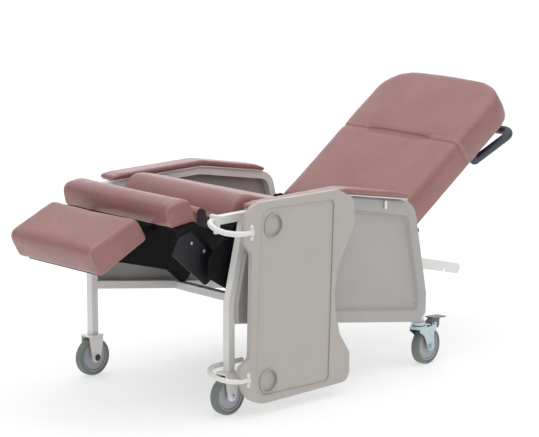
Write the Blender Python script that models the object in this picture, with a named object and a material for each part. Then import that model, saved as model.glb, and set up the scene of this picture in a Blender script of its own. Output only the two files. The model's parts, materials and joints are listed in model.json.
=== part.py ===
"""Patient recliner chair on four wheels, shown fully reclined with its side tray hung up.

The chair is built around its centre plane X = 0, with Y measured from the front axle towards
the rear and Z up from the floor. Its front faces -Y. All of it hangs on the empty
chair_origin, which puts the model's origin at the middle of its footprint.
"""

from math import atan2, cos, pi, radians, sin, tan

import bmesh
import bpy
from mathutils import Matrix, Vector

# Driving dimensions, metres and degrees.
GAP = 0.0003
FRAME_X = 0.332
TUBE = 0.026
TUBE_WALL = 0.0016
WHEEL_RADIUS = 0.0625
WHEEL_WIDTH = 0.032
TRACK_X = 0.330
REAR_LEG_Y = 0.868
FORK_TOP = 0.138
RAIL_Z = 0.628
RAIL_FRONT_Y = -0.045
RAIL_BEND_Y = 0.475
RAIL_SLOPE = radians(-10.5)
SEAT_SLOPE = radians(-15.5)
SEAT_THICK = 0.100
SEAT_HALF = 0.266
BACK_SLOPE = radians(34.6)
BACK_THICK = 0.108
BACK_LENGTH = 0.684
BACK_HALF = 0.2675
CALF_HALF = 0.258
FOOT_HALF = 0.200
BOARD = 0.010
BACK_BOARD = 0.009
PIN_RADIUS = 0.006
PIN_HOLE = 0.0063
CASTER_TRAIL = 0.040
CASTER_YAW_LEFT = radians(6.0)
CASTER_YAW_RIGHT = radians(-8.0)
TRAY_X = 0.4075
TRAY_THICK = 0.016

# Joint axes that run along X, as (Y, Z).
RECLINE_AXIS = (0.786, 0.501)
SEAT_AXIS = (0.620, 0.400)
LEGREST_AXIS = (-0.012, 0.500)
FOOT_AXIS = (-0.187, 0.585)

# Side plates, from the inside outwards: X of each inner face.
ARM_X = 0.262
COVER_X = 0.2673
BACK_BRACKET_X = 0.2705
SIDE_PLATE_X = 0.2755
BAR_X = 0.2798
MECHANISM_X = 0.295
PLATE = 0.004


# Materials.


def material(name, colour, roughness, metallic=0.0):
    made = bpy.data.materials.new(name)
    made.use_nodes = True
    shader = made.node_tree.nodes["Principled BSDF"]
    shader.inputs["Base Color"].default_value = (*colour, 1.0)
    shader.inputs["Roughness"].default_value = roughness
    shader.inputs["Metallic"].default_value = metallic
    return made


# Geometry helpers.


def side_view(offset=0.0):
    """Places a flat outline drawn as (Y, Z) so that it is extruded along X."""
    return Matrix(((0, 0, 1, offset), (1, 0, 0, 0), (0, 1, 0, 0), (0, 0, 0, 1)))


def slope_view(origin, angle):
    """Places an outline drawn as (X, distance up the slope), extruded along the slope's normal."""
    columns = (Vector((1, 0, 0)), Vector((0, cos(angle), sin(angle))), Vector((0, -sin(angle), cos(angle))))
    placed = Matrix(columns).transposed().to_4x4()
    placed.translation = Vector((0, *origin))
    return placed


def on_slope(origin, angle, along, normal):
    """The (Y, Z) of a point given by its distances along and normal to a sloped line."""
    y = origin[0] + along * cos(angle) - normal * sin(angle)
    z = origin[1] + along * sin(angle) + normal * cos(angle)
    return y, z


def rounded(points, radii, steps=4, closed=True):
    """An outline or path with its corners turned into arcs; radii is one value or one per corner."""
    count = len(points)
    if not isinstance(radii, (list, tuple)):
        radii = [radii] * count
    result = []
    for i, point in enumerate(points):
        corner = Vector(point)
        ends = not closed and i in (0, count - 1)
        if ends or radii[i] <= 0:
            result.append(tuple(corner))
            continue
        before = (Vector(points[i - 1]) - corner).normalized()
        after = (Vector(points[(i + 1) % count]) - corner).normalized()
        half = before.angle(after) / 2
        towards = (before + after).normalized()
        centre = corner + towards * radii[i] / sin(half)
        start = (corner + before * radii[i] / tan(half) - centre).normalized()
        for k in range(steps + 1):
            turn = (pi - 2 * half) * (k / steps - 0.5)
            side = (start + towards * start.dot(-towards)).normalized()
            result.append(tuple(centre + (side * -sin(turn) - towards * cos(turn)) * radii[i]))
    return result


def circle(centre, radius, segments=16):
    turn = 2 * pi / segments
    return [(centre[0] + radius * cos(k * turn), centre[1] + radius * sin(k * turn)) for k in range(segments)]


def mesh_object(name, bm, look, smooth_angle=None):
    bmesh.ops.recalc_face_normals(bm, faces=bm.faces)
    mesh = bpy.data.meshes.new(name)
    bm.to_mesh(mesh)
    bm.free()
    if smooth_angle:
        mesh.shade_smooth()
        mesh.set_sharp_from_angle(angle=radians(smooth_angle))
    made = bpy.data.objects.new(name, mesh)
    bpy.context.scene.collection.objects.link(made)
    if look:
        made.data.materials.append(look)
    return made


def prism(name, outline, low, high, look, view=None):
    """Extrudes a flat outline from low to high along the view's third axis."""
    bm = bmesh.new()
    bottom = [bm.verts.new((*point, low)) for point in outline]
    top = [bm.verts.new((*point, high)) for point in outline]
    bm.faces.new(bottom)
    bm.faces.new(top)
    for i in range(len(outline)):
        j = (i + 1) % len(outline)
        bm.faces.new((bottom[i], bottom[j], top[j], top[i]))
    bm.transform(view or side_view())
    return mesh_object(name, bm, look, 35)


def rod_x(name, centre, radius, low, high, look, segments=16):
    return prism(name, circle(centre, radius, segments), low, high, look)


def turned(name, profile, x, centre, look, segments=36):
    """Turns a closed (X, radius) profile about an axle along X, with a flat facet at the bottom."""
    bm = bmesh.new()
    stretch = 1 / cos(pi / segments)
    rings = []
    for k in range(segments):
        angle = 2 * pi * (k + 0.5) / segments - pi / 2
        ring = []
        for offset, radius in profile:
            y = centre[0] + radius * stretch * cos(angle)
            z = centre[1] + radius * stretch * sin(angle)
            ring.append(bm.verts.new((x + offset, y, z)))
        rings.append(ring)
    for k in range(segments):
        one = rings[k]
        two = rings[(k + 1) % segments]
        for i in range(len(profile)):
            j = (i + 1) % len(profile)
            bm.faces.new((one[i], one[j], two[j], two[i]))
    return mesh_object(name, bm, look, 35)


def square_tube(name, path, x, look, cuts=(None, None)):
    """A hollow square tube along a (Y, Z) path, mitred at its bends; cuts are end-plane directions."""
    bm = bmesh.new()
    half = TUBE / 2
    inner = half - TUBE_WALL
    rings = []
    for i, point in enumerate(path):
        here = Vector(point)
        before = (here - Vector(path[i - 1])).normalized() if i else None
        after = (Vector(path[i + 1]) - here).normalized() if i + 1 < len(path) else None
        run = (before or after) if not (before and after) else (before + after).normalized()
        cut = cuts[0] if i == 0 else cuts[1] if i + 1 == len(path) else None
        across = Vector(cut).normalized() if cut else Vector((-run.y, run.x))
        piece = before or after
        scale = 1 / (piece.x * across.y - piece.y * across.x)
        ring = []
        for size in (half, inner):
            for side, lift in ((-1, -1), (1, -1), (1, 1), (-1, 1)):
                spot = here + across * (lift * size * scale)
                ring.append(bm.verts.new((x + side * size, spot.x, spot.y)))
        rings.append(ring)
    for one, two in zip(rings, rings[1:]):
        for base in (0, 4):
            for k in range(4):
                a, b = base + k, base + (k + 1) % 4
                bm.faces.new((one[a], one[b], two[b], two[a]))
    for ring in (rings[0], rings[-1]):
        for k in range(4):
            bm.faces.new((ring[k], ring[(k + 1) % 4], ring[4 + (k + 1) % 4], ring[4 + k]))
    return mesh_object(name, bm, look)


def round_rod(name, path, radius, look, sides=3):
    """A round bar along a path of points, as a curve with closed ends."""
    curve = bpy.data.curves.new(name, "CURVE")
    curve.dimensions = "3D"
    curve.bevel_depth = radius
    curve.bevel_resolution = sides
    curve.use_fill_caps = True
    spline = curve.splines.new("POLY")
    spline.points.add(len(path) - 1)
    for spot, point in zip(spline.points, path):
        spot.co = (*point, 1)
    made = bpy.data.objects.new(name, curve)
    bpy.context.scene.collection.objects.link(made)
    made.data.materials.append(look)
    return made


def as_mesh(obj):
    """Turns an object with modifiers, or a curve, into a plain mesh object of the same name."""
    bpy.context.view_layer.update()
    graph = bpy.context.evaluated_depsgraph_get()
    mesh = bpy.data.meshes.new_from_object(obj.evaluated_get(graph))
    name = obj.name
    bpy.data.objects.remove(obj)
    made = bpy.data.objects.new(name, mesh)
    made.name = name
    bpy.context.scene.collection.objects.link(made)
    return made


def combine(base, others, operation="UNION"):
    """Joins the others into base, or cuts them from it, and removes them."""
    if base.type != "MESH":
        base = as_mesh(base)
    for other in others:
        step = base.modifiers.new(operation.lower(), "BOOLEAN")
        step.operation = operation
        step.solver = "EXACT"
        step.object = other
    name = base.name
    base = as_mesh(base)
    for other in others:
        bpy.data.objects.remove(other)
    base.name = name
    return base


def cut(base, others):
    return combine(base, others, "DIFFERENCE")


def soften(obj, width, segments=2, angle=50):
    bevel = obj.modifiers.new("soft edges", "BEVEL")
    bevel.width = width
    bevel.segments = segments
    bevel.limit_method = "ANGLE"
    bevel.angle_limit = radians(angle)
    return obj


def group(name, place, parent=None, yaw=0.0):
    """An empty on a joint's axis, at a place in the chair's frame."""
    empty = bpy.data.objects.new(name, None)
    bpy.context.scene.collection.objects.link(empty)
    empty.empty_display_size = 0.05
    if parent:
        empty.parent = parent
        bpy.context.view_layer.update()
        empty.location = parent.matrix_world.inverted() @ Vector(place)
    else:
        empty.location = place
    empty.rotation_euler.z = yaw
    bpy.context.view_layer.update()
    return empty


def attach(parent, objects, yawed=False):
    """Moves each object's origin to its group's axis and parents it there."""
    bpy.context.view_layer.update()
    origin = parent.matrix_world.translation
    for obj in objects:
        if obj.type == "MESH":
            obj.data.transform(Matrix.Translation(-origin))
        else:
            for spline in obj.data.splines:
                for spot in spline.points:
                    spot.co = (*(Vector(spot.co[:3]) - origin), 1)
        obj.parent = parent
        obj.location = (0, 0, 0)
        if not yawed:
            obj.rotation_euler.z = -parent.matrix_world.to_euler().z


def mirrored(sign, low, high):
    """The X range of a piece on one side of the chair, lowest first."""
    return (low, high) if sign > 0 else (-high, -low)


# Frame.


def rail_height(y):
    """Centre height of the arm rail."""
    return RAIL_Z + max(0.0, y - RAIL_BEND_Y) * tan(RAIL_SLOPE)


def lower_rail_height(y):
    """Centre height of the sloping lower rail."""
    return 0.3065 - 0.156 * y


def arm_top_line(lift, front_y, rear_y):
    """Three points along the arm, lifted from the top face of the rail."""
    top = TUBE / 2 + lift
    bend_y = RAIL_BEND_Y - top * tan(RAIL_SLOPE / 2)
    rear_z = RAIL_Z + top + (rear_y - bend_y) * tan(RAIL_SLOPE)
    return [(front_y, RAIL_Z + top), (bend_y, RAIL_Z + top), (rear_y, rear_z)]


LEG_Y = 0.005
LEG_BEND_Z = 0.355
LEG_TOP_Y = 0.070


def side_frame(sign, side, look):
    """The front leg, arm rail, rear leg and lower rail of one side, each a tube."""
    x = sign * FRAME_X
    rail_bottom = RAIL_Z - TUBE / 2
    leg_path = [(LEG_Y, FORK_TOP + GAP), (LEG_Y, LEG_BEND_Z), (LEG_TOP_Y, rail_bottom - GAP)]
    leg = square_tube("front_leg_" + side, leg_path, x, look, cuts=(None, (-1, 0)))
    hoop_y = 0.735
    rail_path = [(RAIL_FRONT_Y, RAIL_Z), (RAIL_BEND_Y, RAIL_Z), (hoop_y, rail_height(hoop_y))]
    rail = square_tube("arm_rail_" + side, rail_path, x, look)
    start = (hoop_y + GAP, rail_height(hoop_y + GAP))
    corner = (0.798, rail_height(0.798))
    rear_path = rounded([start, corner, (REAR_LEG_Y, 0.25), (REAR_LEG_Y, 0.1553)], [0, 0.055, 0, 0], 5, False)
    rear = square_tube("rear_leg_" + side, rear_path, x, look)
    front_y = LEG_Y + TUBE / 2 + GAP
    rear_y = REAR_LEG_Y - TUBE / 2 - GAP
    low_path = [(front_y, lower_rail_height(front_y)), (rear_y, lower_rail_height(rear_y))]
    low = square_tube("lower_rail_" + side, low_path, x, look, cuts=((0, 1), (0, 1)))
    return [leg, rail, rear, low]


def cross_rail(name, y, z, look):
    """A square tube across the chair between the two lower rails."""
    half = TUBE / 2
    inner = half - TUBE_WALL
    reach = FRAME_X - half - GAP
    square = [(-1, -1), (1, -1), (1, 1), (-1, 1)]
    outline = [(y + a * half, z + b * half) for a, b in square]
    hollow = [(y + a * inner, z + b * inner) for a, b in square]
    tube = prism(name, outline, -reach, reach, look)
    return cut(tube, [prism("hollow", hollow, -reach - 0.01, reach + 0.01, None)])


def tapered(cutter, level, centre, share):
    """Draws in the end of a cutter at one X, so that the recess it leaves has sloping walls."""
    for vertex in cutter.data.vertices:
        if abs(vertex.co.x - level) < 1e-5:
            vertex.co.y = centre[0] + (vertex.co.y - centre[0]) * share
            vertex.co.z = centre[1] + (vertex.co.z - centre[1]) * share
    return cutter


def side_panel(sign, side, look):
    """The moulded side panel: a raised border round a recessed field, facing outwards."""
    inner = FRAME_X + TUBE / 2 + GAP
    thick = 0.016
    top = arm_top_line(-GAP, 0.0, 0.775)
    outline = [
        (LEG_Y + TUBE / 2 - 0.003, lower_rail_height(0) - 0.012),
        (LEG_Y + TUBE / 2 - 0.003, LEG_BEND_Z),
        (LEG_TOP_Y + 0.012, top[0][1] - 0.004),
        (top[1][0], top[1][1] - 0.004),
        (0.812, rail_height(0.812) + 0.006),
        (0.873, 0.255),
        (0.871, 0.183),
        (0.856, 0.178),
        (0.850, 0.158),
    ]
    outline = rounded(outline, [0.018, 0, 0.012, 0, 0.070, 0, 0.008, 0.006, 0.008], 5)
    low, high = mirrored(sign, inner, inner + thick)
    panel = prism("side_panel_" + side, outline, low, high, look)
    field = [
        (0.062, 0.322),
        (0.060, 0.372),
        (0.112, top[0][1] - 0.040),
        (top[1][0], top[1][1] - 0.040),
        (0.788, rail_height(0.788) - 0.036),
        (0.840, 0.258),
        (0.840, 0.198),
    ]
    field = rounded(field, [0.014, 0, 0.014, 0, 0.036, 0, 0.010], 4)
    low, high = mirrored(sign, inner + thick - 0.0125, inner + thick + 0.01)
    dish = tapered(prism("field", field, low, high, None), sign * (inner + thick - 0.0125), (0.45, 0.36), 0.958)
    return cut(panel, [dish])


PAD_X = 0.345
PAD_HALF = 0.0355
PAD_FRONT_Y = 0.084
PAD_REAR_Y = 0.768
ARM_PLATE = 0.004


def arm_parts(sign, side, plate_look, pad_look):
    """The thin plate on the arm rail and the upholstered pad on it."""
    half = PAD_HALF - 0.0025
    low, high = mirrored(sign, PAD_X - half, PAD_X + half)
    under = arm_top_line(GAP, PAD_FRONT_Y + 0.005, PAD_REAR_Y - 0.008)
    over = arm_top_line(GAP + ARM_PLATE, PAD_FRONT_Y + 0.005, PAD_REAR_Y - 0.008)
    plate = prism("arm_plate_" + side, under + over[::-1], low, high, plate_look)
    low, high = mirrored(sign, PAD_X - PAD_HALF, PAD_X + PAD_HALF)
    under = arm_top_line(2 * GAP + ARM_PLATE, PAD_FRONT_Y, PAD_REAR_Y)
    over = arm_top_line(ARM_PLATE + 0.0195, PAD_FRONT_Y + 0.040, PAD_REAR_Y - 0.045)
    front = (PAD_FRONT_Y, under[0][1] + 0.014)
    rear = (PAD_REAR_Y, under[2][1] + 0.011)
    outline = rounded(under + [rear] + over[::-1] + [front], [0.004, 0, 0.004, 0.006, 0.03, 0.1, 0.03, 0.008], 3)
    pad = soften(prism("arm_pad_" + side, outline, low, high, pad_look), 0.005)
    return [plate, pad]


# Wheels and casters.


def wheel(side_name, x, centre, tyre_look, hub_look):
    """A solid tyre on a hub with a dished web and a bore for its axle."""
    half = WHEEL_WIDTH / 2
    seat = 0.0510
    tyre_profile = [
        (-half, seat),
        (-half, WHEEL_RADIUS - 0.009),
        (-half * 0.62, WHEEL_RADIUS),
        (half * 0.62, WHEEL_RADIUS),
        (half, WHEEL_RADIUS - 0.009),
        (half, seat),
    ]
    tyre = turned(side_name + "_tyre", tyre_profile, x, centre, tyre_look)
    rim = seat - GAP
    one_side = [(0.017, PIN_HOLE), (0.017, 0.013), (0.009, 0.015), (0.008, 0.041), (0.014, 0.044), (0.014, rim)]
    hub_profile = one_side + [(-offset, radius) for offset, radius in reversed(one_side)]
    hub = turned(side_name + "_hub", hub_profile, x, centre, hub_look, 36)
    return [tyre, hub]


CHEEK_IN = 0.0205
CHEEK_OUT = 0.0235


def axle_parts(x, centre, look):
    """An axle bolt with a hexagonal head and nut outside the fork's cheeks."""
    bolt = rod_x("bolt", centre, PIN_RADIUS, x - CHEEK_OUT - 0.006, x + CHEEK_OUT + 0.006, look)
    parts = [bolt]
    for low in (x - CHEEK_OUT - 0.005, x + CHEEK_OUT - 0.0005):
        parts.append(rod_x("nut", centre, 0.0095, low, low + 0.0055, look, 6))
    return parts


def front_fork(sign, side, look):
    """A bent plate over the fixed front wheel, welded under the leg, with its axle bolt."""
    x = sign * TRACK_X
    centre = (0.0, WHEEL_RADIUS)
    top = [(-0.029, FORK_TOP - 0.005), (0.029, FORK_TOP - 0.005), (0.029, FORK_TOP), (-0.029, FORK_TOP)]
    bridge = prism("front_fork_" + side, top, x - CHEEK_OUT, x + CHEEK_OUT, look)
    cheek = rounded([(-0.0285, FORK_TOP - 0.001), (-0.0265, 0.110), (-0.015, 0.047), (0.015, 0.047),
                     (0.0265, 0.110), (0.0285, FORK_TOP - 0.001)], [0, 0.02, 0.0135, 0.0135, 0.02, 0], 3)
    cheeks = [prism("cheek", cheek, x - CHEEK_OUT, x - CHEEK_IN, look)]
    cheeks.append(prism("cheek", cheek, x + CHEEK_IN, x + CHEEK_OUT, look))
    return combine(bridge, cheeks + axle_parts(x, centre, look))


STEM_TOP = 0.155
HEAD_TOP = 0.1397
PEDAL_AXIS = (0.056, 0.1375)


def caster(sign, side, yaw, looks):
    """A trailing swivel caster: fixed bearing cap, fork, tyre, hub and brake pedal."""
    x = sign * TRACK_X
    y = REAR_LEG_Y
    cap = prism("caster_cap_" + side, circle((x, y), 0.024, 24), HEAD_TOP + GAP, STEM_TOP, looks["zinc"],
                Matrix.Identity(4))
    centre = (y + CASTER_TRAIL, WHEEL_RADIUS)
    head = prism("caster_fork_" + side, circle((x, y), 0.029, 24), 0.1290, HEAD_TOP, looks["zinc"],
                 Matrix.Identity(4))
    top = [(y - 0.019, 0.1275), (y + 0.050, 0.1275), (y + 0.050, 0.1325), (y - 0.019, 0.1325)]
    parts = [prism("bridge", top, x - CHEEK_OUT, x + CHEEK_OUT, looks["zinc"])]
    cheek = [(-0.0185, 0.1320), (-0.0185, 0.1180), (0.006, 0.104), (0.027, 0.048), (0.055, 0.048), (0.056, 0.108),
             (0.070, 0.116), (0.070, 0.142), (0.050, 0.142), (0.046, 0.1320)]
    cheek = rounded([(y + a, b) for a, b in cheek], [0, 0.006, 0.05, 0.013, 0.013, 0.008, 0.010, 0.006, 0.004, 0], 3)
    for low in (x - CHEEK_OUT, x + CHEEK_IN):
        parts.append(prism("cheek", cheek, low, low + CHEEK_OUT - CHEEK_IN, looks["zinc"]))
    fork = combine(head, parts + axle_parts(x, centre, looks["zinc"]))
    pivot = (y + PEDAL_AXIS[0], PEDAL_AXIS[1])
    fork = cut(fork, [rod_x("pin hole", pivot, 0.0034, x - 0.03, x + 0.03, None, 12)])
    blade = [(y + a, b) for a, b in ((0.060, 0.1530), (0.061, 0.1565), (0.128, 0.1500), (0.128, 0.1462))]
    pedal = prism("brake_pedal_" + side, blade, x - 0.0180, x + 0.0180, looks["zinc"])
    web = [(0.052, 0.138), (0.072, 0.1350), (0.084, 0.1200), (0.094, 0.1130), (0.102, 0.1200), (0.104, 0.1500),
           (0.064, 0.1545)]
    web = rounded([(y + a, b) for a, b in web], [0, 0.004, 0.004, 0.005, 0.006, 0, 0], 2)
    web = prism("web", web, x - 0.0100, x + 0.0100, looks["zinc"])
    barrel = rod_x("barrel", pivot, 0.0045, x - 0.0200, x + 0.0200, looks["zinc"], 12)
    pin = rod_x("pin", pivot, 0.0030, x - 0.0250, x + 0.0250, looks["zinc"], 12)
    pedal = combine(pedal, [web, barrel, pin])
    tyre, hub = wheel("rear_" + side, x, centre, looks["tyre"], looks["hub"])
    swivel = group("caster_swivel_" + side, (x, y, 0.0))
    axle = group("rear_axle_" + side, (x, *centre), swivel)
    hinge = group("pedal_axis_" + side, (x, *pivot), swivel)
    attach(swivel, [fork], True)
    attach(axle, [tyre, hub], True)
    attach(hinge, [pedal], True)
    swivel.rotation_euler.z = yaw
    return cap, swivel


# Mechanism.


def mechanism_plate(sign, side, look):
    """The fixed steel plate that stands on the cross rails and carries the seat's pivot."""
    middle_top = lower_rail_height(MIDDLE_RAIL_Y) + TUBE / 2 + GAP
    rear_top = lower_rail_height(REAR_RAIL_Y) + TUBE / 2 + GAP
    outline = [
        (-0.050, 0.500),
        (-0.050, 0.440),
        (0.035, 0.388),
        (0.300, 0.315),
        (MIDDLE_RAIL_Y - 0.012, middle_top),
        (MIDDLE_RAIL_Y + 0.012, middle_top),
        (0.450, 0.335),
        (0.640, 0.330),
        (REAR_RAIL_Y - 0.012, rear_top),
        (REAR_RAIL_Y + 0.012, rear_top),
        (0.705, 0.400),
        (0.660, 0.450),
        (0.120, 0.560),
        (0.020, 0.555),
    ]
    low, high = mirrored(sign, MECHANISM_X, MECHANISM_X + PLATE)
    plate = prism("mechanism_plate_" + side, rounded(outline, [0.012] * 4 + [0, 0] + [0.03] * 2 + [0, 0] + [0.015] * 4, 2),
                  low, high, look)
    low, high = mirrored(sign, MECHANISM_X - 0.01, MECHANISM_X + PLATE + 0.01)
    return cut(plate, [rod_x("pivot hole", SEAT_AXIS, PIN_HOLE, low, high, None)])


def seat_point(along, normal):
    """A (Y, Z) on the seat, from its hinge end: along the slope forwards, and normal to the top face."""
    return on_slope(RECLINE_AXIS, SEAT_SLOPE, -along, normal)


MIDDLE_RAIL_Y = 0.373
REAR_RAIL_Y = 0.705
SEAT_DEPTH = 0.713


def seat_side_plate(sign, side, look):
    """The plate on the side of the seat pan, from the legrest pivot to the back's hinge."""
    under = -SEAT_THICK - GAP
    outline = [
        (LEGREST_AXIS[0] - 0.016, LEGREST_AXIS[1] + 0.006),
        (LEGREST_AXIS[0] - 0.008, LEGREST_AXIS[1] - 0.017),
        (LEGREST_AXIS[0] + 0.016, LEGREST_AXIS[1] - 0.012),
        seat_point(0.60, under - 0.050),
        seat_point(0.25, under - 0.034),
        (SEAT_AXIS[0] - 0.022, SEAT_AXIS[1] - 0.020),
        (SEAT_AXIS[0] + 0.020, SEAT_AXIS[1] - 0.022),
        (0.770, 0.352),
        (0.806, 0.352),
        (RECLINE_AXIS[0] + 0.020, RECLINE_AXIS[1]),
        (RECLINE_AXIS[0], RECLINE_AXIS[1] + 0.017),
        (RECLINE_AXIS[0] - 0.020, RECLINE_AXIS[1] - 0.010),
        seat_point(0.10, under),
        seat_point(0.70, under),
    ]
    radii = [0.012, 0.012, 0.02, 0.05, 0.05, 0.02, 0.02, 0.01, 0.01, 0.014, 0.012, 0.014, 0.05, 0.02]
    low, high = mirrored(sign, SIDE_PLATE_X, SIDE_PLATE_X + PLATE)
    plate = prism("seat_side_plate_" + side, rounded(outline, radii, 2), low, high, look)
    low, high = mirrored(sign, SIDE_PLATE_X - 0.01, SIDE_PLATE_X + PLATE + 0.01)
    holes = [rod_x("hole", axis, PIN_HOLE, low, high, None) for axis in (LEGREST_AXIS, RECLINE_AXIS)]
    plate = cut(plate, holes)
    low, high = mirrored(sign, SIDE_PLATE_X + 0.001, MECHANISM_X + PLATE + 0.004)
    pin = rod_x("pin", SEAT_AXIS, PIN_RADIUS, low, high, look)
    return combine(plate, [pin])


def position_bar(look):
    """The flat notched bar that runs out behind the seat, with a hole near its end."""
    front = (0.745, 0.4000)
    slope = radians(-14.4)
    corners = [(0, 0), (0.384, 0), (0.392, -0.014), (0.384, -0.035), (0.324, -0.035), (0.324, -0.026), (0.310, -0.026),
               (0.310, -0.035), (0, -0.037)]
    outline = [on_slope(front, slope, a, b) for a, b in corners]
    outline = rounded(outline, [0.004, 0.008, 0.006, 0.004, 0, 0, 0, 0, 0.004], 2)
    bar = prism("position_bar", outline, BAR_X, BAR_X + PLATE, look)
    hole = rod_x("hole", on_slope(front, slope, 0.378, -0.015), 0.004, BAR_X - 0.01, BAR_X + 0.02, None, 12)
    return cut(bar, [hole])


def seat_parts(looks):
    """The seat cushion on its pan, with a cross tube at the legrest pivot."""
    top = [seat_point(SEAT_DEPTH, 0), seat_point(0.012, 0), seat_point(0.012, -SEAT_THICK),
           seat_point(SEAT_DEPTH, -SEAT_THICK)]
    outline = rounded(top, [0.062, 0.008, 0.010, 0.024], 4)
    cushion = soften(prism("seat_cushion", outline, -SEAT_HALF, SEAT_HALF, looks["vinyl"]), 0.014)
    under = -SEAT_THICK - GAP
    board = [seat_point(SEAT_DEPTH - 0.02, under), seat_point(0.030, under), seat_point(0.030, under - 0.012),
             seat_point(SEAT_DEPTH - 0.02, under - 0.012)]
    reach = SIDE_PLATE_X - GAP
    pan = prism("seat_pan", board, -reach, reach, looks["black"])
    return [cushion, pan]


def leg_board_line(distance, depth):
    """A (Y, Z) under the calf cushion, from its rear lower edge forwards, and below its face."""
    return on_slope((-0.061, 0.616), radians(185.0), distance, depth)


def foot_line(distance, depth):
    """A (Y, Z) under the foot cushion, from its rear lower edge forwards, and below its face."""
    return on_slope((-0.211, 0.572), radians(205.7), distance, depth)


HINGE_X = 0.144


def legrest_parts(looks):
    """The calf cushion on its board, whose lugs carry the foot section's hinge."""
    profile = [(-0.061, 0.616), (-0.096, 0.692), (-0.183, 0.680), (-0.164, 0.607)]
    outline = rounded(profile, [0.010, 0.026, 0.026, 0.010], 4)
    cushion = soften(prism("calf_cushion", outline, -CALF_HALF, CALF_HALF, looks["vinyl"]), 0.012)
    corners = [(0.008, GAP), (0.090, GAP), (0.090, BOARD), (0.008, BOARD)]
    reach = ARM_X - GAP
    board = prism("calf_board", [leg_board_line(a, b) for a, b in corners], -reach, reach, looks["black"])
    lug = [leg_board_line(0.060, BOARD - 0.002), leg_board_line(0.088, BOARD - 0.002),
           (FOOT_AXIS[0] - 0.004, FOOT_AXIS[1] + 0.0115), (FOOT_AXIS[0] - 0.012, FOOT_AXIS[1]),
           (FOOT_AXIS[0], FOOT_AXIS[1] - 0.011), leg_board_line(0.060, 0.024)]
    lug = rounded(lug, [0, 0, 0.006, 0.006, 0.006, 0.004], 2)
    lugs = [prism("lug", lug, *mirrored(s, HINGE_X, HINGE_X + PLATE), looks["black"]) for s in (1, -1)]
    board = combine(board, lugs)
    board = cut(board, [rod_x("hole", FOOT_AXIS, 0.0053, -0.2, 0.2, None, 12)])
    return [cushion, board]


def legrest_arm(sign, side, look):
    """The arm that carries the calf board, with the pin it turns on."""
    outline = [leg_board_line(0.006, 0.004), leg_board_line(0.094, 0.004), leg_board_line(0.094, 0.020),
               (LEGREST_AXIS[0] - 0.020, LEGREST_AXIS[1] - 0.012), (LEGREST_AXIS[0] + 0.004, LEGREST_AXIS[1] - 0.018),
               (LEGREST_AXIS[0] + 0.018, LEGREST_AXIS[1] + 0.002)]
    outline = rounded(outline, [0.006, 0.006, 0.006, 0.012, 0.012, 0.012], 2)
    arm = prism("legrest_arm_" + side, outline, *mirrored(sign, ARM_X, ARM_X + PLATE), look)
    pin_range = mirrored(sign, ARM_X + 0.001, SIDE_PLATE_X + PLATE + 0.004)
    return combine(arm, [rod_x("pin", LEGREST_AXIS, PIN_RADIUS, *pin_range, look)])


def link_cover(sign, side, look):
    """The five-sided black cover over the legrest link."""
    outline = [(-0.096, 0.592), (0.006, 0.489), (-0.004, 0.448), (-0.021, 0.418), (-0.039, 0.411), (-0.173, 0.527),
               (-0.144, 0.579)]
    outline = rounded(outline, [0.004, 0.006, 0.02, 0.01, 0.006, 0.004, 0.006], 2)
    cover = prism("link_cover_" + side, outline, *mirrored(sign, COVER_X, COVER_X + 0.003), look)
    hole_range = mirrored(sign, COVER_X - 0.01, COVER_X + 0.02)
    return cut(cover, [rod_x("hole", LEGREST_AXIS, PIN_HOLE, *hole_range, None)])


def gap_flap(look):
    """The arched strip of vinyl that covers the gap between the calf cushion and the seat."""
    outer = [(-0.052, 0.607), (-0.052, 0.640), (-0.036, 0.655), (-0.012, 0.646), (-0.002, 0.612), (-0.001, 0.585)]
    outer = rounded(outer, [0, 0.015, 0.02, 0.02, 0.03, 0], 3, False)
    thick = 0.0035
    inner = []
    for i, point in enumerate(outer):
        before = Vector(outer[max(i - 1, 0)])
        after = Vector(outer[min(i + 1, len(outer) - 1)])
        run = (after - before).normalized()
        inner.append((point[0] + run.y * thick, point[1] - run.x * thick))
    return prism("gap_flap", outer + inner[::-1], -0.245, 0.245, look)


def foot_parts(looks):
    """The tilted foot cushion on its board, with two hinge straps."""
    profile = [(-0.211, 0.572), (-0.257, 0.648), (-0.450, 0.567), (-0.400, 0.481)]
    outline = rounded(profile, [0.012, 0.028, 0.026, 0.012], 4)
    cushion = soften(prism("foot_cushion", outline, -FOOT_HALF, FOOT_HALF, looks["vinyl"]), 0.012)
    corners = [(0.012, GAP), (0.195, GAP), (0.195, BOARD), (0.012, BOARD)]
    board = prism("foot_board", [foot_line(a, b) for a, b in corners], -0.170, 0.170, looks["black"])
    parts = [cushion, board]
    for sign, side in ((1, "left"), (-1, "right")):
        strap = [foot_line(0.110, BOARD + GAP), foot_line(0.110, BOARD + 0.012), foot_line(0.010, BOARD + 0.016),
                 (FOOT_AXIS[0] + 0.010, FOOT_AXIS[1] - 0.008), (FOOT_AXIS[0] + 0.008, FOOT_AXIS[1] + 0.009),
                 (FOOT_AXIS[0] - 0.010, FOOT_AXIS[1] + 0.006), foot_line(0.010, BOARD + GAP)]
        strap = rounded(strap, [0, 0.005, 0.02, 0.006, 0.006, 0.006, 0], 2)
        low = HINGE_X + PLATE + GAP
        made = prism("foot_strap_" + side, strap, *mirrored(sign, low, low + PLATE), looks["black"])
        pin = rod_x("pin", FOOT_AXIS, 0.005, *mirrored(sign, HINGE_X - 0.004, low + 0.001), looks["black"], 12)
        parts.append(combine(made, [pin]))
    return parts


# Back.


def back_outline(inset, bottom):
    half = BACK_HALF - inset
    top = BACK_LENGTH - inset
    corners = [(-half, bottom), (half, bottom), (half, top), (-half, top)]
    return rounded(corners, [0.010, 0.010, 0.104 - inset, 0.104 - inset], 8)


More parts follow.
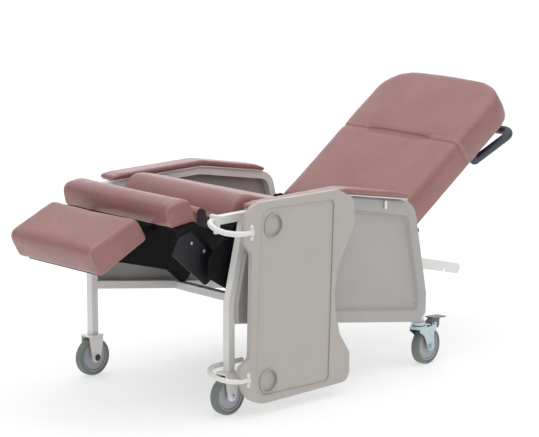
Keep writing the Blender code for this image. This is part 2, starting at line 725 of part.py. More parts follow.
def back_parts(looks):
    """The tall back cushion on its board, with its hinge brackets."""
    view = slope_view(RECLINE_AXIS, BACK_SLOPE)
    cushion = prism("back_cushion", back_outline(0, 0.010), -BACK_THICK, 0.0, looks["vinyl"], view)
    soften(cushion, 0.016)
    under = -BACK_THICK - GAP
    board = prism("back_board", back_outline(0.022, 0.085), under - BACK_BOARD, under, looks["black"], view)
    half = BACK_BRACKET_X - GAP
    foot = [(-half, 0.030), (half, 0.030), (half, 0.086), (-half, 0.086)]
    board = combine(board, [prism("lower edge", foot, under - BACK_BOARD, under, looks["black"], view)])
    parts = [cushion, board]
    for sign, side in ((1, "left"), (-1, "right")):
        outline = [on_slope(RECLINE_AXIS, BACK_SLOPE, a, b) for a, b in
                   ((-0.012, 0.014), (-0.014, -0.020), (0.020, -0.110), (0.040, -0.127), (0.085, -0.127),
                    (0.085, -0.104), (0.022, 0.0))]
        bracket = prism("back_bracket_" + side, rounded(outline, [0.01, 0.01, 0.02, 0.008, 0.006, 0.006, 0.012], 2),
                        *mirrored(sign, BACK_BRACKET_X, BACK_BRACKET_X + PLATE), looks["black"])
        pin_range = mirrored(sign, BACK_BRACKET_X + 0.001, SIDE_PLATE_X + PLATE + 0.003)
        parts.append(combine(bracket, [rod_x("pin", RECLINE_AXIS, PIN_RADIUS, *pin_range, looks["black"])]))
    return parts


def push_handle(look):
    """The rounded grab loop behind the back, on two flanges."""
    half = 0.240
    surface = -BACK_THICK - 2 * GAP - BACK_BOARD
    foot = on_slope(RECLINE_AXIS, BACK_SLOPE, 0.445, surface - 0.002)
    knee = on_slope(RECLINE_AXIS, BACK_SLOPE, 0.445, surface - 0.022)
    reach = (1.430, 0.717)
    path = [(half, *foot), (half, *knee), (half, *reach), (-half, *reach), (-half, *knee), (-half, *foot)]
    path = rounded(path, [0, 0.010, 0.040, 0.040, 0.010, 0], 5, False)
    loop = round_rod("push_handle", path, 0.0150, look, 2)
    view = slope_view(RECLINE_AXIS, BACK_SLOPE)
    flanges = []
    for x in (-half, half):
        corners = [(x - 0.020, 0.412), (x + 0.004, 0.412), (x + 0.004, 0.470), (x - 0.020, 0.470)]
        flanges.append(prism("flange", corners, surface - 0.004, surface, look, view))
    return combine(loop, flanges)


# Tray.


def tray_board(look):
    """The lift-off tray, hung on its side: rim, recessed field, two cup recesses and a belly cut-out."""
    outline = [
        (-0.010, 0.632),
        (0.020, 0.684),
        (0.395, 0.678),
        (0.466, 0.640),
        (0.466, 0.556),
        (0.392, 0.425),
        (0.378, 0.345),
        (0.384, 0.280),
        (0.404, 0.205),
        (0.447, 0.140),
        (0.447, 0.045),
        (0.060, 0.040),
        (0.004, 0.062),
        (-0.026, 0.110),
        (-0.036, 0.172),
        (0.010, 0.194),
        (0.019, 0.528),
        (-0.016, 0.568),
    ]
    radii = [0.080, 0.064, 0.03, 0.03, 0.03, 0.08, 0.08, 0.08, 0.06, 0.03, 0.035, 0.11, 0.085, 0.085, 0.02, 0.02, 0.03,
             0.015]
    outline = rounded(outline, radii, 4)
    face = TRAY_X + TRAY_THICK
    board = prism("tray", outline, TRAY_X, face, look)
    field = rounded([(0.060, 0.664), (0.376, 0.652), (0.354, 0.060), (0.034, 0.066)], [0.045, 0.02, 0.02, 0.04], 4)
    cups = [((0.112, 0.603), 0.037), ((0.090, 0.110), 0.037)]
    cutters = [prism("field", field, face - 0.003, face + 0.01, None)]
    for centre, radius in cups:
        cutters.append(rod_x("cup", centre, radius, face - 0.009, face + 0.01, None, 24))
    return cut(board, cutters)


UPPER_ROD = 0.009
LOWER_ROD = 0.0072


def edge_clip(edge_y, z, reach, look):
    """A folded clip round the front edge of the tray: a web before the edge and a tab on the face."""
    face = TRAY_X + TRAY_THICK + GAP
    web = [(edge_y - 0.0060, z - 0.012), (edge_y, z - 0.012), (edge_y, z + 0.012), (edge_y - 0.0060, z + 0.012)]
    tab = [(edge_y - 0.0060, z - 0.012), (edge_y + reach, z - 0.012), (edge_y + reach, z + 0.012),
           (edge_y - 0.0060, z + 0.012)]
    tab = rounded(tab, [0, 0.010, 0.010, 0], 3)
    return [prism("web", web, 0.3980, face + 0.002, look), prism("tab", tab, face, face + 0.004, look)]


def tray_hangers(look):
    """Two bent rods: the upper one plugs into the arm rail, the lower one loops round the leg."""
    upper = [(FRAME_X, 0.020, RAIL_Z), (FRAME_X, -0.066, RAIL_Z), (0.337, -0.078, 0.626), (0.350, -0.084, 0.620),
             (0.367, -0.078, 0.610), (0.383, -0.060, 0.600), (0.394, -0.034, 0.595), (0.3975, -0.010, 0.594),
             (0.3975, 0.060, 0.594)]
    top = round_rod("tray_hanger_upper", upper, UPPER_ROD, look, 2)
    top = combine(top, edge_clip(-0.0150, 0.594, 0.026, look))
    middle = 0.346
    bend = 0.054
    bend_y = -0.010
    droop = 0.19
    arc = [pi * k / 12 for k in range(13)]
    flat = [(0.400, 0.060)] + [(middle + bend * cos(a), bend_y - bend * sin(a)) for a in arc] + [(0.292, 0.100)]
    lower = [(x, y, 0.152 - (x - 0.292) * droop) for x, y in flat]
    bottom = round_rod("tray_hanger_lower", lower, LOWER_ROD, look, 2)
    bottom = combine(bottom, edge_clip(-0.0370, 0.1320, 0.034, look))
    return [top, bottom]


def tray_socket(look):
    """The collar on the open front end of the arm rail that takes the tray's upper rod."""
    front = RAIL_FRONT_Y - GAP
    block = [(front - 0.014, 0.600), (front, 0.600), (front, 0.646), (front - 0.014, 0.646)]
    socket = prism("tray_socket", rounded(block, 0.003, 2), FRAME_X - 0.017, FRAME_X + 0.017, look)
    centre = (FRAME_X, 0.0, RAIL_Z)
    bore = prism("bore", circle((0, 0), UPPER_ROD + 0.0008, 16), front - 0.03, front + 0.01, None,
                 Matrix(((1, 0, 0, centre[0]), (0, 0, 1, 0), (0, 1, 0, centre[2]), (0, 0, 0, 1))))
    socket = cut(socket, [bore])
    knob = prism("knob", circle((FRAME_X + 0.006, front - 0.007), 0.0085, 12), 0.588, 0.602, look, Matrix.Identity(4))
    return combine(socket, [knob])


LEVER_AXIS = (0.668, 0.590)


def release_lever(look):
    """The small finger lever that hangs under the left arm plate."""
    y, z = LEVER_AXIS
    outline = rounded([(y - 0.006, z + 0.006), (y - 0.005, z - 0.022), (y + 0.005, z - 0.022), (y + 0.006, z + 0.006)],
                      0.003, 2)
    return prism("release_lever", outline, 0.3640, 0.3680, look)


# Assembly.


def build():
    for old in list(bpy.data.objects):
        bpy.data.objects.remove(old)
    looks = {
        "white": material("white_powder_coat", (0.70, 0.69, 0.67), 0.35),
        "panel": material("grey_panel", (0.38, 0.375, 0.365), 0.45),
        "tray": material("beige_tray", (0.45, 0.42, 0.39), 0.45),
        "vinyl": material("rose_vinyl", (0.40, 0.22, 0.21), 0.45),
        "black": material("black_paint", (0.02, 0.02, 0.022), 0.45),
        "handle": material("slate_grip", (0.05, 0.06, 0.08), 0.5),
        "tyre": material("grey_tyre", (0.11, 0.13, 0.115), 0.7),
        "hub": material("grey_hub", (0.30, 0.31, 0.36), 0.4),
        "zinc": material("zinc_plate", (0.55, 0.60, 0.64), 0.3, 1.0),
    }
    root = []
    sides = ((1, "left"), (-1, "right"))
    for sign, side in sides:
        root += side_frame(sign, side, looks["white"])
        root.append(side_panel(sign, side, looks["panel"]))
        root += arm_parts(sign, side, looks["white"], looks["vinyl"])
        root.append(front_fork(sign, side, looks["white"]))
        root.append(mechanism_plate(sign, side, looks["black"]))
    root.append(cross_rail("middle_cross_rail", MIDDLE_RAIL_Y, lower_rail_height(MIDDLE_RAIL_Y), looks["white"]))
    root.append(cross_rail("rear_cross_rail", REAR_RAIL_Y, lower_rail_height(REAR_RAIL_Y), looks["white"]))
    root.append(tray_socket(looks["white"]))

    chair = group("chair_origin", (0, 0, 0))
    for sign, side in sides:
        axle = group("front_axle_" + side, (sign * TRACK_X, 0.0, WHEEL_RADIUS), chair)
        attach(axle, wheel("front_" + side, sign * TRACK_X, (0.0, WHEEL_RADIUS), looks["tyre"], looks["hub"]))
        yaw = CASTER_YAW_LEFT if sign > 0 else CASTER_YAW_RIGHT
        cap, swivel = caster(sign, side, yaw, looks)
        swivel.parent = chair
        root.append(cap)
    attach(chair, root)

    seat = group("seat_axis", (0, *SEAT_AXIS), chair)
    attach(seat, seat_parts(looks) + [seat_side_plate(sign, side, looks["black"]) for sign, side in sides])
    attach(seat, [position_bar(looks["white"])])
    back = group("recline_axis", (0, *RECLINE_AXIS), seat)
    attach(back, back_parts(looks) + [push_handle(looks["handle"])])
    legrest = group("legrest_axis", (0, *LEGREST_AXIS), seat)
    attach(legrest, legrest_parts(looks) + [gap_flap(looks["vinyl"])])
    attach(legrest, [legrest_arm(sign, side, looks["black"]) for sign, side in sides])
    attach(legrest, [link_cover(sign, side, looks["black"]) for sign, side in sides])
    attach(group("foot_axis", (0, *FOOT_AXIS), legrest), foot_parts(looks))
    tray = group("tray_slide", (FRAME_X, RAIL_FRONT_Y, RAIL_Z), chair)
    attach(tray, [tray_board(looks["tray"])] + tray_hangers(looks["white"]))
    attach(group("lever_axis", (0.366, *LEVER_AXIS), chair), [release_lever(looks["white"])])

    bpy.context.view_layer.update()
    corners = [made.matrix_world @ Vector(corner) for made in bpy.data.objects if made.type != "EMPTY"
               for corner in made.bound_box]
    for axis in (0, 1):
        values = [corner[axis] for corner in corners]
        chair.location[axis] = round(-(min(values) + max(values)) / 2, 4)
    bpy.context.view_layer.update()


build()
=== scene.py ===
"""Looks of the patient recliner chair: upholstery, moulded parts, wheels, hardware, studio, camera."""

import json

from math import cos, pi, radians, sin

import bmesh
import bpy
import numpy as np
from mathutils import Matrix, Quaternion, Vector
from mathutils.bvhtree import BVHTree


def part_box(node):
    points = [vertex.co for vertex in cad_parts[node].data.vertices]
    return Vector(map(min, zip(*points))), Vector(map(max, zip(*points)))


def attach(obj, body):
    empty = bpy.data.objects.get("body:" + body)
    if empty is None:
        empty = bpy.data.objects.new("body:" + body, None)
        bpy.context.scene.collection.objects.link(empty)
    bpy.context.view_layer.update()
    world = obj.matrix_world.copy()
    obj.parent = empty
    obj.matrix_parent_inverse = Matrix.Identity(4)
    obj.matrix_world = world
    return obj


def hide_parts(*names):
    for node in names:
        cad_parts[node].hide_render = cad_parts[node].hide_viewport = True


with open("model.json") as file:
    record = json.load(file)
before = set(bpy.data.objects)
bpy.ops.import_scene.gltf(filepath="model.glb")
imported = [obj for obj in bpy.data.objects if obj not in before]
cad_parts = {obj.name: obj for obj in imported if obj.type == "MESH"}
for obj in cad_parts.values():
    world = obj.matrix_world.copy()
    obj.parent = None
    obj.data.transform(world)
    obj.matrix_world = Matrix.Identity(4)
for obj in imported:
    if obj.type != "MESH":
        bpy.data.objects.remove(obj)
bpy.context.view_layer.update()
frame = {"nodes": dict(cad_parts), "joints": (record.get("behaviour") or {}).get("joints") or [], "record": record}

JOINTS = {joint["name"]: joint for joint in frame["joints"]}
BODY_OF = {
    node: body for body, nodes in frame["record"]["behaviour"]["bodies"].items() for node in nodes
}
SIDES = ("left", "right")
X = Vector((1, 0, 0))


def box_centre(node):
    low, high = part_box(node)
    return (low + high) / 2


# The chair's own origin: its centre plane, under the front axle.
ORIGIN = Vector((
    (box_centre("front_left_tyre").x + box_centre("front_right_tyre").x) / 2,
    box_centre("front_left_tyre").y,
    0.0,
))


def chair(x, y, z):
    """A point given from the chair's centre plane, its front axle and the floor."""
    return ORIGIN + Vector((x, y, z))


def joint_place(name):
    return Vector(JOINTS[name]["pos_m"])


# Node-based materials.


class Look:
    """A Principled material with a few short calls for its procedural nodes."""

    def __init__(self, name, colour, roughness, metallic=0.0, **sockets):
        self.material = bpy.data.materials.new(name)
        self.material.use_nodes = True
        self.tree = self.material.node_tree
        self.shader = self.tree.nodes["Principled BSDF"]
        self.shader.inputs["Base Color"].default_value = (*colour, 1)
        self.shader.inputs["Roughness"].default_value = roughness
        self.shader.inputs["Metallic"].default_value = metallic
        for socket, value in sockets.items():
            self.shader.inputs[socket.replace("_", " ")].default_value = value
        self.place = self.tree.nodes.new("ShaderNodeTexCoord").outputs["Object"]
        self.last_bump = None

    def link(self, a, b):
        self.tree.links.new(a, b)

    def noise(self, scale, detail=3.0, stretch=(1, 1, 1)):
        made = self.tree.nodes.new("ShaderNodeTexNoise")
        made.inputs["Scale"].default_value = scale
        made.inputs["Detail"].default_value = detail
        self.link(self.stretched(stretch), made.inputs["Vector"])
        return made.outputs["Fac"]

    def cells(self, scale):
        made = self.tree.nodes.new("ShaderNodeTexVoronoi")
        made.feature = "DISTANCE_TO_EDGE"
        made.inputs["Scale"].default_value = scale
        self.link(self.place, made.inputs["Vector"])
        return made.outputs["Distance"]

    def stretched(self, stretch):
        if tuple(stretch) == (1, 1, 1):
            return self.place
        made = self.tree.nodes.new("ShaderNodeMapping")
        made.inputs["Scale"].default_value = stretch
        self.link(self.place, made.inputs["Vector"])
        return made.outputs["Vector"]

    def spread(self, value, low, high, to_low, to_high):
        made = self.tree.nodes.new("ShaderNodeMapRange")
        ends = {"From Min": low, "From Max": high, "To Min": to_low, "To Max": to_high}
        for socket, number in ends.items():
            made.inputs[socket].default_value = number
        self.link(value, made.inputs["Value"])
        return made.outputs["Result"]

    def tint(self, value, low, high, dark, light):
        """Scales the base colour from dark to light as value goes from low to high, over earlier tints."""
        mix = self.tree.nodes.new("ShaderNodeMix")
        mix.data_type = "RGBA"
        mix.blend_type = "MULTIPLY"
        mix.inputs["Factor"].default_value = 1.0
        colour = self.shader.inputs["Base Color"]
        if colour.links:
            self.link(colour.links[0].from_socket, mix.inputs["A"])
        else:
            mix.inputs["A"].default_value = colour.default_value
        ramp = self.tree.nodes.new("ShaderNodeMix")
        ramp.data_type = "RGBA"
        for socket, shade in (("A", dark), ("B", light)):
            shades = shade if isinstance(shade, tuple) else (shade, shade, shade)
            ramp.inputs[socket].default_value = (*shades, 1)
        self.link(self.spread(value, low, high, 0, 1), ramp.inputs["Factor"])
        self.link(ramp.outputs["Result"], mix.inputs["B"])
        self.link(mix.outputs["Result"], colour)

    def gloss(self, value, low, high, smooth, rough):
        self.link(self.spread(value, low, high, smooth, rough), self.shader.inputs["Roughness"])

    def bump(self, height, depth, strength):
        made = self.tree.nodes.new("ShaderNodeBump")
        made.inputs["Distance"].default_value = depth
        made.inputs["Strength"].default_value = strength
        self.link(height, made.inputs["Height"])
        if self.last_bump:
            self.link(self.last_bump, made.inputs["Normal"])
        self.last_bump = made.outputs["Normal"]
        self.link(self.last_bump, self.shader.inputs["Normal"])


# The spans that a noise texture's values fall in: most of them, and their steep middle.
MOST = (0.3, 0.7)
STEEP = (0.35, 0.65)


def vinyl_look(name, colour, roughness):
    """Calendered upholstery vinyl: pebbled grain with painted shade in the creases between its pebbles, soft
    mottling, slightly shinier on the pebbles' tops.
    """
    look = Look(
        name, colour, roughness,
        Sheen_Weight=0.04, Sheen_Roughness=0.5, Specular_IOR_Level=0.42, Coat_Weight=0.34, Coat_Roughness=0.28,
    )
    grain = look.cells(620)
    fine = look.noise(1900, 2)
    broad = look.noise(7, 3)
    look.tint(broad, 0.32, 0.68, (0.93, 0.91, 0.91), (1.05, 1.05, 1.05))
    look.tint(look.noise(190, 3), *MOST, 0.93, 1.06)
    # Painted shade: the colour darkens towards each pebble's edge, in the creases between the pebbles.
    look.tint(grain, 0.0, 0.10, 0.86, 1.0)
    look.gloss(look.noise(38, 4), *MOST, roughness - 0.05, roughness + 0.07)
    look.bump(look.spread(grain, 0.0, 0.22, 0, 1), 0.00022, 0.7)
    look.bump(fine, 0.00005, 0.4)
    look.bump(look.noise(26, 3), 0.0012, 0.20)
    return look.material


def plastic_look(name, colour, roughness, grain_scale, grain_depth):
    """Moulded plastic with a fine spark-eroded texture and faint scuffs."""
    look = Look(name, colour, roughness)
    texture = look.noise(grain_scale, 4)
    look.tint(look.noise(5, 3), *MOST, (0.955, 0.955, 0.95), (1.035, 1.03, 1.03))
    look.tint(texture, *MOST, 0.965, 1.03)
    look.gloss(look.noise(30, 5), 0.35, 0.7, roughness - 0.04, roughness + 0.08)
    look.bump(texture, grain_depth, 0.5)
    look.bump(look.noise(60, 3, (1, 0.25, 1)), 0.0003, 0.08)
    return look.material


def paint_look(name, colour, roughness, shine=0.5):
    """Baked powder coat: orange peel, and dust-fine speckle in its colour."""
    look = Look(name, colour, roughness, Specular_IOR_Level=shine)
    peel = look.noise(420, 2)
    look.tint(look.noise(11, 3), *MOST, 0.965, 1.025)
    look.tint(look.noise(1500, 2), *STEEP, 0.985, 1.01)
    look.gloss(look.noise(45, 4), *MOST, roughness - 0.05, roughness + 0.06)
    look.bump(peel, 0.00022, 0.35)
    return look.material


def zinc_look(name, colour, roughness):
    """Bright zinc plate on pressed steel: cloudy passivation and faint drawing lines."""
    look = Look(name, colour, roughness, 0.88)
    clouds = look.noise(70, 4)
    look.tint(clouds, *MOST, (0.84, 0.90, 0.97), (1.06, 1.05, 1.0))
    look.gloss(look.noise(260, 4, (1, 1, 0.15)), *MOST, roughness - 0.08, roughness + 0.12)
    look.bump(look.noise(900, 3, (1, 1, 0.08)), 0.00004, 0.5)
    look.bump(look.noise(60, 2), 0.0005, 0.15)
    return look.material


def rubber_look(name, colour, ring):
    """Grey polyurethane: matt, with dust and short rolling scuffs."""
    look = Look(name, colour, 0.62)
    look.tint(look.noise(90, 4), *MOST, 0.90, 1.07)
    look.tint(look.noise(900, 3), 0.35, 0.7, 0.96, 1.03)
    look.gloss(look.noise(50, 3), *MOST, 0.52, 0.72)
    look.bump(look.noise(700, 3), 0.00012, 0.5)
    look.bump(look.noise(120, 3, ring), 0.0004, 0.15)
    return look.material


def thread_look(name, colour, roughness):
    """Twisted sewing thread."""
    look = Look(name, colour, roughness)
    look.tint(look.noise(2500, 2), *STEEP, 0.85, 1.1)
    look.bump(look.noise(2500, 2), 0.0001, 0.5)
    return look.material


def backing_look(name, colour, weave):
    """The cloth that the vinyl is coated on, drawn out along its weave; its dark colour is painted shade."""
    look = Look(name, colour, 0.85)
    look.tint(look.noise(1400, 2, weave), *STEEP, 0.8, 1.15)
    look.bump(look.noise(1400, 2, weave), 0.0002, 0.5)
    return look.material


LOOKS = {
    "rose_vinyl": vinyl_look("rose_vinyl_grain", (0.338, 0.156, 0.144), 0.40),
    "grey_panel": plastic_look("panel_texture", (0.436, 0.424, 0.412), 0.46, 950, 0.00016),
    "beige_tray": plastic_look("tray_texture", (0.470, 0.440, 0.408), 0.40, 1400, 0.00007),
    "white_powder_coat": paint_look("white_powder", (0.82, 0.81, 0.79), 0.32),
    "black_paint": paint_look("black_powder", (0.0040, 0.0045, 0.0065), 0.58, 0.22),
    "zinc_plate": zinc_look("zinc_clouds", (0.53, 0.60, 0.64), 0.28),
    "slate_grip": plastic_look("grip_texture", (0.052, 0.060, 0.078), 0.48, 1200, 0.00014),
    "grey_tyre": rubber_look("tyre_side", (0.190, 0.222, 0.196), (1, 1, 1)),
    "grey_hub": plastic_look("hub_texture", (0.40, 0.405, 0.45), 0.38, 1200, 0.00006),
}
TREAD = rubber_look("tyre_tread", (0.150, 0.135, 0.128), (0.2, 1, 1))
THREAD = thread_look("thread", (0.66, 0.50, 0.48), 0.55)
# Painted shade: a darker copy of the thread for the stitches that lie in the headrest's recessed band.
THREAD_PAINTED_SHADE = thread_look("recessed_thread", (0.36, 0.20, 0.20), 0.6)
# Painted shade: the backing's dark colour stands in for the shade inside the flap's arch.
BACKING_PAINTED_SHADE = backing_look("vinyl_backing", (0.050, 0.036, 0.034), (1, 0.3, 0.3))
CAP = plastic_look("black_cap_plastic", (0.022, 0.023, 0.027), 0.35, 1200, 0.00006)
COVER = paint_look("cover_paint", (0.0085, 0.0100, 0.0140), 0.45)
PEDAL = paint_look("pedal_paint", (0.165, 0.150, 0.180), 0.40)

for name, node in frame["nodes"].items():
    for index, old in enumerate(node.data.materials):
        node.data.materials[index] = LOOKS[old.name.split(".")[0]]


# Mesh helpers.


def slot_of(node):
    for name, material in LOOKS.items():
        if frame["nodes"][node].data.materials[0] == material:
            return name
    raise KeyError(node)


def new_object(name, mesh, *materials):
    made = bpy.data.objects.new(name, mesh)
    bpy.context.scene.collection.objects.link(made)
    made.data.materials.clear()
    for material in materials:
        made.data.materials.append(material)
    return made


def from_bmesh(name, bm, *materials):
    mesh = bpy.data.meshes.new(name)
    bmesh.ops.recalc_face_normals(bm, faces=bm.faces)
    bm.to_mesh(mesh)
    bm.free()
    made = new_object(name, mesh, *materials)
    made.data.shade_smooth()
    return made


def place(piece, body, slot, *nodes):
    """The piece rides on a body and may stand for CAD nodes; slot is not used."""
    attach(piece, body)
    if nodes:
        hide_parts(*nodes)
    return piece


def baked(piece):
    """Turns the piece's modifiers into mesh."""
    graph = bpy.context.evaluated_depsgraph_get()
    graph.update()
    mesh = bpy.data.meshes.new_from_object(piece.evaluated_get(graph))
    piece.modifiers.clear()
    old = piece.data
    piece.data = mesh
    bpy.data.meshes.remove(old)


def bevelled(piece, width, segments, angle=30):
    """A bevel on the edges that are sharper than an angle in degrees."""
    bevel = piece.modifiers.new("edges", "BEVEL")
    bevel.width = width
    bevel.segments = segments
    bevel.limit_method = "ANGLE"
    bevel.angle_limit = radians(angle)
    return bevel


def evenly_shaded(piece):
    """Normals weighted by face area, so that flat faces stay flat beside their rounded edges."""
    normals = piece.modifiers.new("normals", "WEIGHTED_NORMAL")
    normals.keep_sharp = True


def cad_copy(node, name):
    """A cleaned copy of a CAD node's mesh: welded, with its flat faces made whole again."""
    bm = bmesh.new()
    bm.from_mesh(frame["nodes"][node].data)
    bmesh.ops.remove_doubles(bm, verts=bm.verts, dist=1e-5)
    bmesh.ops.dissolve_limit(bm, angle_limit=radians(0.6), verts=bm.verts, edges=bm.edges)
    return from_bmesh(name, bm, LOOKS[slot_of(node)])


def refined(node, width, segments, angle=30, look=None):
    """A hard part with its edges rounded."""
    piece = cad_copy(node, node + "_form")
    if look:
        piece.data.materials[0] = look
    bevelled(piece, width, segments, angle).miter_outer = "MITER_ARC"
    evenly_shaded(piece)
    return place(piece, BODY_OF[node], slot_of(node), node)


ON_AXIS = 1e-6


def lathe(name, profile, centre, axis, materials, segments, bands=None):
    """A profile of (distance along the axis, radius) turned round the axis, and closed up unless it touches it.

    bands gives the material index of each step along the profile."""
    turn = Vector((0, 0, 1)).rotation_difference(axis.normalized()).to_matrix()
    bm = bmesh.new()
    rings = []
    for along, radius in profile:
        if radius < ON_AXIS:
            rings.append([bm.verts.new(turn @ Vector((0, 0, along)) + centre)] * segments)
            continue
        ring = []
        for k in range(segments):
            point = Vector((radius * cos(2 * pi * k / segments), radius * sin(2 * pi * k / segments), along))
            ring.append(bm.verts.new(turn @ point + centre))
        rings.append(ring)
    closed = min(radius for _, radius in profile) > ON_AXIS
    pairs = list(zip(range(len(rings)), range(1, len(rings))))
    if closed:
        pairs.append((len(rings) - 1, 0))
    for a, b in pairs:
        for k in range(segments):
            following = (k + 1) % segments
            corners = [rings[a][k], rings[a][following], rings[b][following], rings[b][k]]
            corners = [v for i, v in enumerate(corners) if v not in corners[:i]]
            face = bm.faces.new(corners)
            if bands:
                face.material_index = bands[a]
    piece = from_bmesh(name, bm, *materials)
    evenly_shaded(piece)
    return piece


def rounded_path(points, radii, steps):
    """A 3-D path with its inner corners turned into arcs."""
    points = [Vector(p) for p in points]
    result = [points[0]]
    for before, corner, after, radius in zip(points, points[1:], points[2:], radii):
        a = (before - corner).normalized()
        b = (after - corner).normalized()
        half = a.angle(b) / 2
        if radius <= 0 or abs(half - pi / 2) < 1e-3:
            result.append(corner)
            continue
        centre = corner + (a + b).normalized() * radius / sin(half)
        start = corner + a * radius * cos(half) / sin(half) - centre
        axis = start.cross(b - a).normalized()
        for k in range(steps + 1):
            result.append(centre + Quaternion(axis, (pi - 2 * half) * k / steps) @ start)
    return result + [points[-1]]


def tube(name, path, radius, material, sides):
    """A round bar swept along a path; tip is the share of its radius that rounds each end, in a few steps."""
    steps = 4
    tip = 0.25
    path = [Vector(p) for p in path]
    lead = (path[1] - path[0]).normalized()
    tail = (path[-1] - path[-2]).normalized()
    turns = [pi / 2 * k / steps for k in range(steps)]
    rows = [(path[0] - lead * radius * tip * cos(a), 1 - tip + tip * sin(a)) for a in turns]
    rows += [(point, 1.0) for point in path]
    rows += [(path[-1] + tail * radius * tip * cos(a), 1 - tip + tip * sin(a)) for a in reversed(turns)]
    bm = bmesh.new()
    side = lead.orthogonal().normalized()
    previous = None
    for index, (point, size) in enumerate(rows):
        along = (rows[min(index + 1, len(rows) - 1)][0] - rows[max(index - 1, 0)][0]).normalized()
        side = (side - along * side.dot(along)).normalized()
        other = along.cross(side)
        ring = []
        for k in range(sides):
            outward = side * cos(2 * pi * k / sides) + other * sin(2 * pi * k / sides)
            ring.append(bm.verts.new(point + outward * radius * size))
        if previous:
            for k in range(sides):
                bm.faces.new((previous[k], previous[(k + 1) % sides], ring[(k + 1) % sides], ring[k]))
        else:
            bm.faces.new(ring[::-1])
        previous = ring
    bm.faces.new(previous)
    return from_bmesh(name, bm, material)


def joined(name, pieces):
    """Several meshes made into one object."""
    bm = bmesh.new()
    materials = []
    for piece in pieces:
        baked(piece)
        material = piece.data.materials[0]
        if material not in materials:
            materials.append(material)
        start = len(bm.faces)
        bm.from_mesh(piece.data)
        bm.faces.ensure_lookup_table()
        for face in bm.faces[start:]:
            face.material_index = materials.index(material)
        bpy.data.objects.remove(piece)
    mesh = bpy.data.meshes.new(name)
    bm.to_mesh(mesh)
    bm.free()
    return new_object(name, mesh, *materials)


def screw(name, centre, axis, radius, height, material, recess=True):
    """A domed screw head on a thin washer, sunk a little, with a drive recess or without."""
    sunk = 0.001
    washer = radius * 1.18
    outline = [(-sunk, 0.0), (-sunk, washer), (height * 0.12, washer), (height * 0.18, radius)]
    steps = 6
    for k in range(1, steps):
        turn = pi / 2 * k / steps
        outline.append((height * (0.18 + 0.82 * sin(turn)), radius * (0.34 + 0.66 * cos(turn))))
    outline.append((height, radius * 0.34))
    outline += [(height * 0.45, radius * 0.30), (height * 0.45, 0.0)] if recess else [(height, 0.0)]
    return lathe(name, outline, centre, axis, [material], 24)


# Upholstery.


def slope_axes(angle):
    """The direction up a sloping pad, and its outward normal."""
    return Vector((0, cos(angle), sin(angle))), Vector((0, -sin(angle), cos(angle)))


def coordinates(mesh):
    co = np.empty(len(mesh.vertices) * 3, np.float64)
    mesh.vertices.foreach_get("co", co)
    return co.reshape(-1, 3)


def set_coordinates(mesh, co):
    mesh.vertices.foreach_set("co", np.ascontiguousarray(co, np.float32).ravel())
    mesh.update()


def vertex_normals(mesh):
    no = np.empty(len(mesh.vertices) * 3, np.float32)
    mesh.vertex_normals.foreach_get("vector", no)
    return no.reshape(-1, 3).astype(float)


def smoothstep(value, low, high):
    """0 below low, 1 above high, smooth between them."""
    t = np.clip((value - low) / (high - low), 0, 1)
    return t * t * (3 - 2 * t)


def relax(mesh, rounds, keep=None):
    """Laplacian smoothing of the whole closed mesh; keep is how much of each point stays put."""
    edges = np.empty(len(mesh.edges) * 2, np.int32)
    mesh.edges.foreach_get("vertices", edges)
    edges = edges.reshape(-1, 2)
    co = coordinates(mesh)
    count = np.bincount(edges.ravel(), minlength=len(co))[:, None]
    amount = 0.5 if keep is None else 0.5 * (1 - keep[:, None])
    for _ in range(rounds):
        total = np.zeros_like(co)
        np.add.at(total, edges[:, 0], co[edges[:, 1]])
        np.add.at(total, edges[:, 1], co[edges[:, 0]])
        co = co + (total / count - co) * amount
    set_coordinates(mesh, co)


def fitted(co, node, angle, proud):
    """Scales points along a pad's own directions so that they fill the CAD node's extent.

    They stand proud of it by a little: across the chair on both sides, otherwise on the upper side only."""
    axes = np.array([X, *slope_axes(angle)])
    solid = coordinates(frame["nodes"][node].data) @ axes.T
    local = co @ axes.T
    for k in range(3):
        low = solid[:, k].min() - (proud[k] if k == 0 else 0.0)
        high = solid[:, k].max() + proud[k]
        was_low, was_high = local[:, k].min(), local[:, k].max()
        local[:, k] = low + (local[:, k] - was_low) * (high - low) / (was_high - was_low)
    return local @ axes


def remeshed(node, voxel):
    """A copy of a CAD cushion's mesh, remade of small even faces."""
    piece = cad_copy(node, node + "_cover")
    remesh = piece.modifiers.new("remesh", "REMESH")
    remesh.mode = "VOXEL"
    remesh.voxel_size = voxel
    baked(piece)
    return piece


def subdivided(piece):
    finer = piece.modifiers.new("finer", "SUBSURF")
    finer.levels = finer.render_levels = 1
    baked(piece)


def covered(piece, node):
    """The finished mesh takes the vinyl and stands for its CAD cushion."""
    piece.data.materials.clear()
    piece.data.materials.append(LOOKS["rose_vinyl"])
    piece.data.shade_smooth()
    piece.vertex_groups.clear()
    place(piece, BODY_OF[node], "rose_vinyl", node)


CLOTH_FRAMES = 20
FIRM_LEVELS = 10


